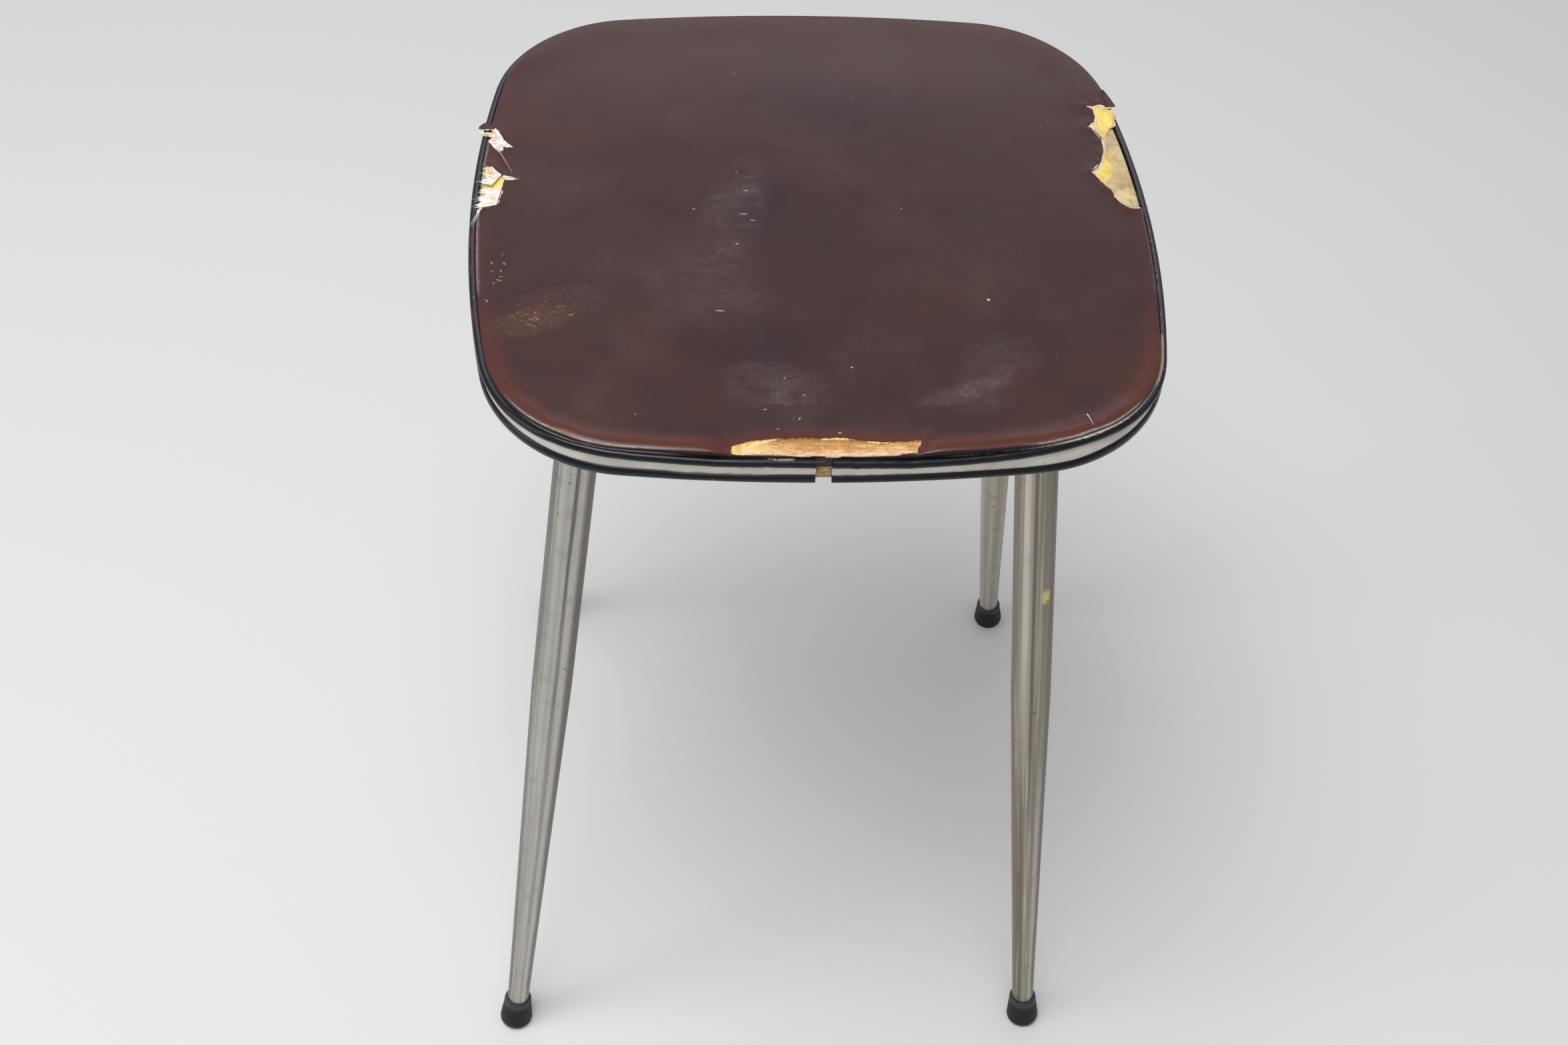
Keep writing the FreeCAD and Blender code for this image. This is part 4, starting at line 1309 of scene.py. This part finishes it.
# Loose fibres of the torn backing, in sheaves: two places where they start, two where they end,
# the heights of both, how many, and how thick they are
sheaves = [
    ((-138.0, 23.4), (-140.6, 18.2), (-143.0, 30.2), (-147.9, 18.6), 473.0, 472.6, 6, 0.8),
    ((-138.0, 15.0), (-138.4, 5.0), (-147.0, 13.4), (-149.8, 1.4), 472.8, 472.2, 5, 0.8),
    ((-144.6, 2.4), (-146.0, 1.4), (-149.4, -8.4), (-147.6, -7.4), 472.2, 471.4, 3, 0.8),
    ((-136.1, 23.2), (-136.4, 21.8), (-130.2, 20.6), (-129.7, 20.0), 472.8, 472.9, 3, 0.9),
    ((-141.0, 52.0), (-141.0, 50.6), (-149.2, 54.8), (-146.0, 51.4), 472.2, 471.8, 3, 0.8),
    ((-138.0, 47.4), (-135.6, 44.4), (-132.6, 42.8), (-135.6, 42.4), 472.9, 473.3, 3, 0.7),
    ((134.4, 65.5), (133.6, 63.5), (135.6, 51.5), (135.9, 54.5), 473.2, 472.8, 2, 0.8),
    ((131.0, 58.8), (132.6, 57.4), (135.8, 47.0), (135.6, 45.0), 473.2, 472.7, 2, 0.7),
    ((135.0, 49.5), (135.3, 47.5), (131.6, 33.5), (131.0, 31.5), 473.2, 472.8, 2, 0.7),
    ((130.0, 30.0), (130.8, 31.4), (127.6, 26.6), (126.8, 26.2), 473.2, 473.0, 3, 0.7),
    ((102.8, -123.6), (102.8, -123.6), (104.1, -131.2), (104.1, -131.2), 473.6, 474.6, 1, 0.9),
]


# One long thread that still joins two of the tears
long_thread = [((-139.0, 39.8), (-138.8, 39.4), (-132.3, 23.6), (-132.1, 23.0), 473.6, 473.5, 1, 1.3)]


def loose_fibres(name, sheaves):
    """Fine curved fibres that taper to a free end."""
    chance = random.Random(7)
    curve = bpy.data.curves.new(name, "CURVE")
    curve.dimensions = "3D"
    curve.bevel_depth = 0.2 * mm
    curve.bevel_resolution = 1
    curve.resolution_u = 4
    for first_a, first_b, last_a, last_b, start_height, end_height, count, thickness in sheaves:
        for i in range(count):
            share = (i + chance.uniform(0.1, 0.9)) / count
            start = Vector(first_a).lerp(Vector(first_b), share).to_3d()
            end = Vector(last_a).lerp(Vector(last_b), share).to_3d()
            length = (end - start).length
            stray = 0.16 * length
            start.z = start_height + chance.uniform(-0.2, 0.2)
            end.z = end_height + chance.uniform(-0.3, 0.9)
            if count > 1:
                end += Vector((chance.uniform(-stray, stray), chance.uniform(-stray, stray), 0))
            spline = curve.splines.new("BEZIER")
            spline.bezier_points.add(3)
            bow = chance.uniform(-0.1, 0.1) * length * min(1, count - 1)
            way = (end - start).normalized()
            for k, point in enumerate(spline.bezier_points):
                along = k / 3
                bulge = math.sin(math.pi * along)
                aside = Vector((-way.y * (bow * bulge), way.x * (bow * bulge), 0.3 * bulge))
                point.co = (start.lerp(end, along) + aside) * mm
                point.radius = thickness * (1.15 - 0.95 * along)
                point.handle_left_type = point.handle_right_type = "AUTO"
    holder = linked("fibres", curve)
    made = bpy.data.meshes.new_from_object(holder.evaluated_get(bpy.context.evaluated_depsgraph_get()))
    bpy.data.objects.remove(holder)
    return finished(name, made)


# Torn sheets of the backing: two places where they start, two where they end, the heights of both,
# and how ragged their free edge is
sheet_thickness = 0.22
frayed_sheets = {
    "upper_sheet": ((-137.0, 23.6), (-141.0, 16.8), (-142.2, 29.8), (-147.4, 18.2), 472.9, 472.7, 0.5),
    "lower_sheet": ((-136.6, 15.2), (-138.4, 3.6), (-146.6, 13.6), (-148.8, 1.4), 472.8, 472.3, 0.4),
    "hanging_sheet": ((-144.2, 2.6), (-146.6, 0.8), (-149.0, -7.4), (-147.4, -7.0), 472.2, 471.6, 0.5),
    "side_sheet": ((-135.6, 23.0), (-136.0, 20.8), (-129.8, 20.8), (-130.6, 18.8), 472.9, 473.2, 0.5),
    "corner_sheet": ((-140.8, 52.2), (-141.0, 50.2), (-148.6, 54.4), (-145.2, 50.8), 472.4, 471.9, 0.4),
}


def frayed_sheet(name):
    """A thin torn sheet with folds and a ragged free edge."""
    start_a, start_b, end_a, end_b, start_height, end_height, raggedness = frayed_sheets[name]
    seed = 3.3 + len(name)
    width = (Vector(end_b) - Vector(end_a)).length
    columns = max(16, round(width / 0.12))
    steps = 10
    rows = []
    for i in range(columns + 1):
        share = i / columns
        root = Vector(start_a).lerp(Vector(start_b), share)
        tip = Vector(end_a).lerp(Vector(end_b), share)
        broad = abs(noise.noise(Vector((share * width / 1.7, seed, 1.5))))
        fine = abs(noise.noise(Vector((share * width / 0.33, seed, 2.5))))
        length = 1 - raggedness * min(1.0, 1.6 * broad + 0.5 * fine)
        face, back = [], []
        for j in range(steps + 1):
            along = length * j / steps
            x, y = root.lerp(tip, along)
            fold = noise.noise(Vector((share * width / 1.6, along * 1.5, seed)))
            z = start_height + (end_height - start_height) * along + 0.7 * fold * along
            face.append(Vector((x, y, z)))
            back.append(Vector((x, y, z - sheet_thickness * (1.1 - j / steps))))
        rows.append(face + back[::-1])
    return lofted(name, rows)


# Loose lumps of foam: middle, and reach along x, y and z
foam_lumps = [
    ((141.0, 66.8, 471.0), (2.9, 6.4, 1.1)),
    ((142.6, 70.4, 471.3), (1.9, 3.0, 0.9)),
    ((-144.6, 53.0, 471.4), (2.2, 1.2, 0.7)),
]


def foam_lump(name, middle, reach):
    """A torn lump of foam with an uneven face."""
    work = bmesh.new()
    bmesh.ops.create_icosphere(work, subdivisions=4, radius=1.0)
    for vertex in work.verts:
        way = vertex.co.normalized()
        uneven = 1 + 0.28 * noise.noise(way * 2.2 + Vector(middle)) + 0.12 * noise.noise(way * 7.0)
        vertex.co = (Vector(middle) + Vector([w * r * uneven for w, r in zip(way, reach)])) * mm
    return from_work(name, work)


# Folded flaps of torn cover: outlines on the cover laid flat
folded_flaps = {
    "upper_flap": [(-141.2, 57.0), (-139.6, 54.4), (-138.3, 51.5), (-140.4, 51.2), (-142.0, 55.7)],
    "folded_flap": [
        (-140.4, 51.2), (-138.3, 51.5), (-136.8, 48.2), (-134.6, 45.0), (-132.8, 43.1), (-135.2, 43.0),
        (-137.1, 43.8), (-137.2, 41.1), (-138.9, 39.9), (-141.4, 43.7), (-143.7, 47.9),
    ],
}


def folded_flap(name):
    """A thin torn flap that lies in folds on the cover."""
    loop = ragged(folded_flaps[name], 0.6, 0.3, 31.0)
    tree = edge_tree(loop)

    def lift(x, y):
        fold = 0.5 + 0.5 * math.sin(1.5 * x + 0.9 * y)
        return 0.35 + 1.1 * fold * min(1.0, distance_to(x, y, tree) / 1.2)

    return solid_between(
        name, [loop], near_points([loop], 0.7, 1.6), lambda x, y: inside(x, y, loop),
        lambda x, y: cover_place(x, y, -lift(x, y)),
        lambda x, y: cover_place(x, y, 0.3 - lift(x, y)),
    )


# Stage, lamps and camera

def soft_lamp(name, place, aim, width, height, power, tint=(1.0, 1.0, 1.0)):
    light = bpy.data.lights.new(name, "AREA")
    light.shape = "RECTANGLE"
    light.size = width
    light.size_y = height
    light.energy = power
    light.color = tint
    lamp = linked(name, light)
    lamp.location = place
    lamp.rotation_mode = "QUATERNION"
    lamp.rotation_quaternion = (Vector(aim) - Vector(place)).to_track_quat("-Z", "Y")


soft_lamp("overhead", (-0.4, -0.35, 2.2), (0, 0, 0.3), 1.2, 1.0, 26.0)
soft_lamp("left_fill", (-1.9, -0.5, 1.2), (0, 0, 0.3), 0.9, 1.3, 8.5)
soft_lamp("rear_glow", (0.2, 1.9, 1.5), (0, 0.1, 0.47), 1.6, 0.5, 1.8)
soft_lamp("front_glow", (-0.3, -1.8, 1.8), (0, -0.1, 0.46), 1.6, 0.9, 2.2, (0.72, 0.84, 1.0))

world = bpy.data.worlds.new("studio")
world.use_nodes = True
background = world.node_tree.nodes["Background"].inputs
background["Color"].default_value = (0.96, 0.98, 1.0, 1.0)
background["Strength"].default_value = 0.42

lens = bpy.data.cameras.new("camera")
lens.lens = 46.52
lens.sensor_width = 36.0
lens.clip_start = 0.01
camera = linked("camera", lens)
camera_right = (0.997812, -0.048337, 0.045097)
camera_up = (0.007641, 0.761934, 0.647609)
camera_back = (-0.065665, -0.645848, 0.760637)
camera_place = Vector((-72.5353, -676.802, 1059.08)) * mm
camera_axes = Matrix((camera_right, camera_up, camera_back)).transposed().to_4x4()
camera.matrix_world = Matrix.Translation(camera_place) @ camera_axes

scene = bpy.context.scene
scene.view_settings.view_transform = "Standard"
scene.world = world
scene.camera = camera

floor_reach = 6.0
floor_corners = [(x * floor_reach, y * floor_reach, 0) for x, y in ((-1, -1), (1, -1), (1, 1), (-1, 1))]
floor_mesh = bpy.data.meshes.new("floor")
floor_mesh.from_pydata(floor_corners, [], [(0, 1, 2, 3)])
floor_mesh.materials.append(Finish("pale_floor", base_color=(0.8, 0.8, 0.79, 1.0), roughness=0.75).material)
floor = linked("floor", floor_mesh)

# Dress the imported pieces

rubber = black_rubber()
zinc = zinc_plate()
wire = bright_wire()
plug = grey_plug()
dress("seat_board", chipboard())
dress("cover_staples", wire)
dress("trim_pins", wire)
dress("plate_screws", zinc)
leg_finishes = {"plate": zinc, "bush": wire, "stud": wire, "plug": plug, "cap": rubber, "washer": wire}
for corner in corners:
    dress(corner + "_leg", plated_tube(corner))
    for part, material in leg_finishes.items():
        dress(f"{corner}_{part}", material)

# Trim

edging = carried_round("edging", edging_outline)
edging.data.materials.append(black_trim())
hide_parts("trim_carrier")

insert = carried_round("pale_insert", insert_outline)
insert.data.materials.append(pale_strip())
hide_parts("trim_strip")

# Seat

cover = seat_cover()
cover.data.materials.append(brown_vinyl())
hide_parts("vinyl_cover")

slab = foam_slab()
slab.data.materials.append(yellow_foam())
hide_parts("foam_pad")

white_weave = torn_backing("white_weave", (226, 200, 170))
pink_weave = torn_backing("pink_weave", (214, 152, 112), (236, 206, 170))
backings = {
    "front": (0.7, pink_weave), "right": (1.3, white_weave),
    "upper_left": (1.2, white_weave), "lower_left": (1.4, white_weave),
}
for tear_name, (spread, weave) in backings.items():
    backing = cover_backing(tear_name, spread)
    backing.data.materials.append(weave)

fibres = loose_fibres("loose_fibres", sheaves)
fibres.data.materials.append(torn_backing("loose_fibres_cloth", (246, 234, 214)))
thread = loose_fibres("long_thread", long_thread)
thread.data.materials.append(torn_backing("long_thread_cloth", (196, 156, 138), (196, 156, 138)))

for i, (middle, reach) in enumerate(foam_lumps):
    lump = foam_lump(f"foam_lump_{i + 1}", middle, reach)
    lump.data.materials.append(yellow_foam())

for make, names, stain in (
    (folded_flap, folded_flaps, (222, 186, 172)),
    (frayed_sheet, frayed_sheets, (232, 206, 176)),
):
    for name in names:
        piece = make(name)
        piece.data.materials.append(torn_backing(name + "_cloth", stain))
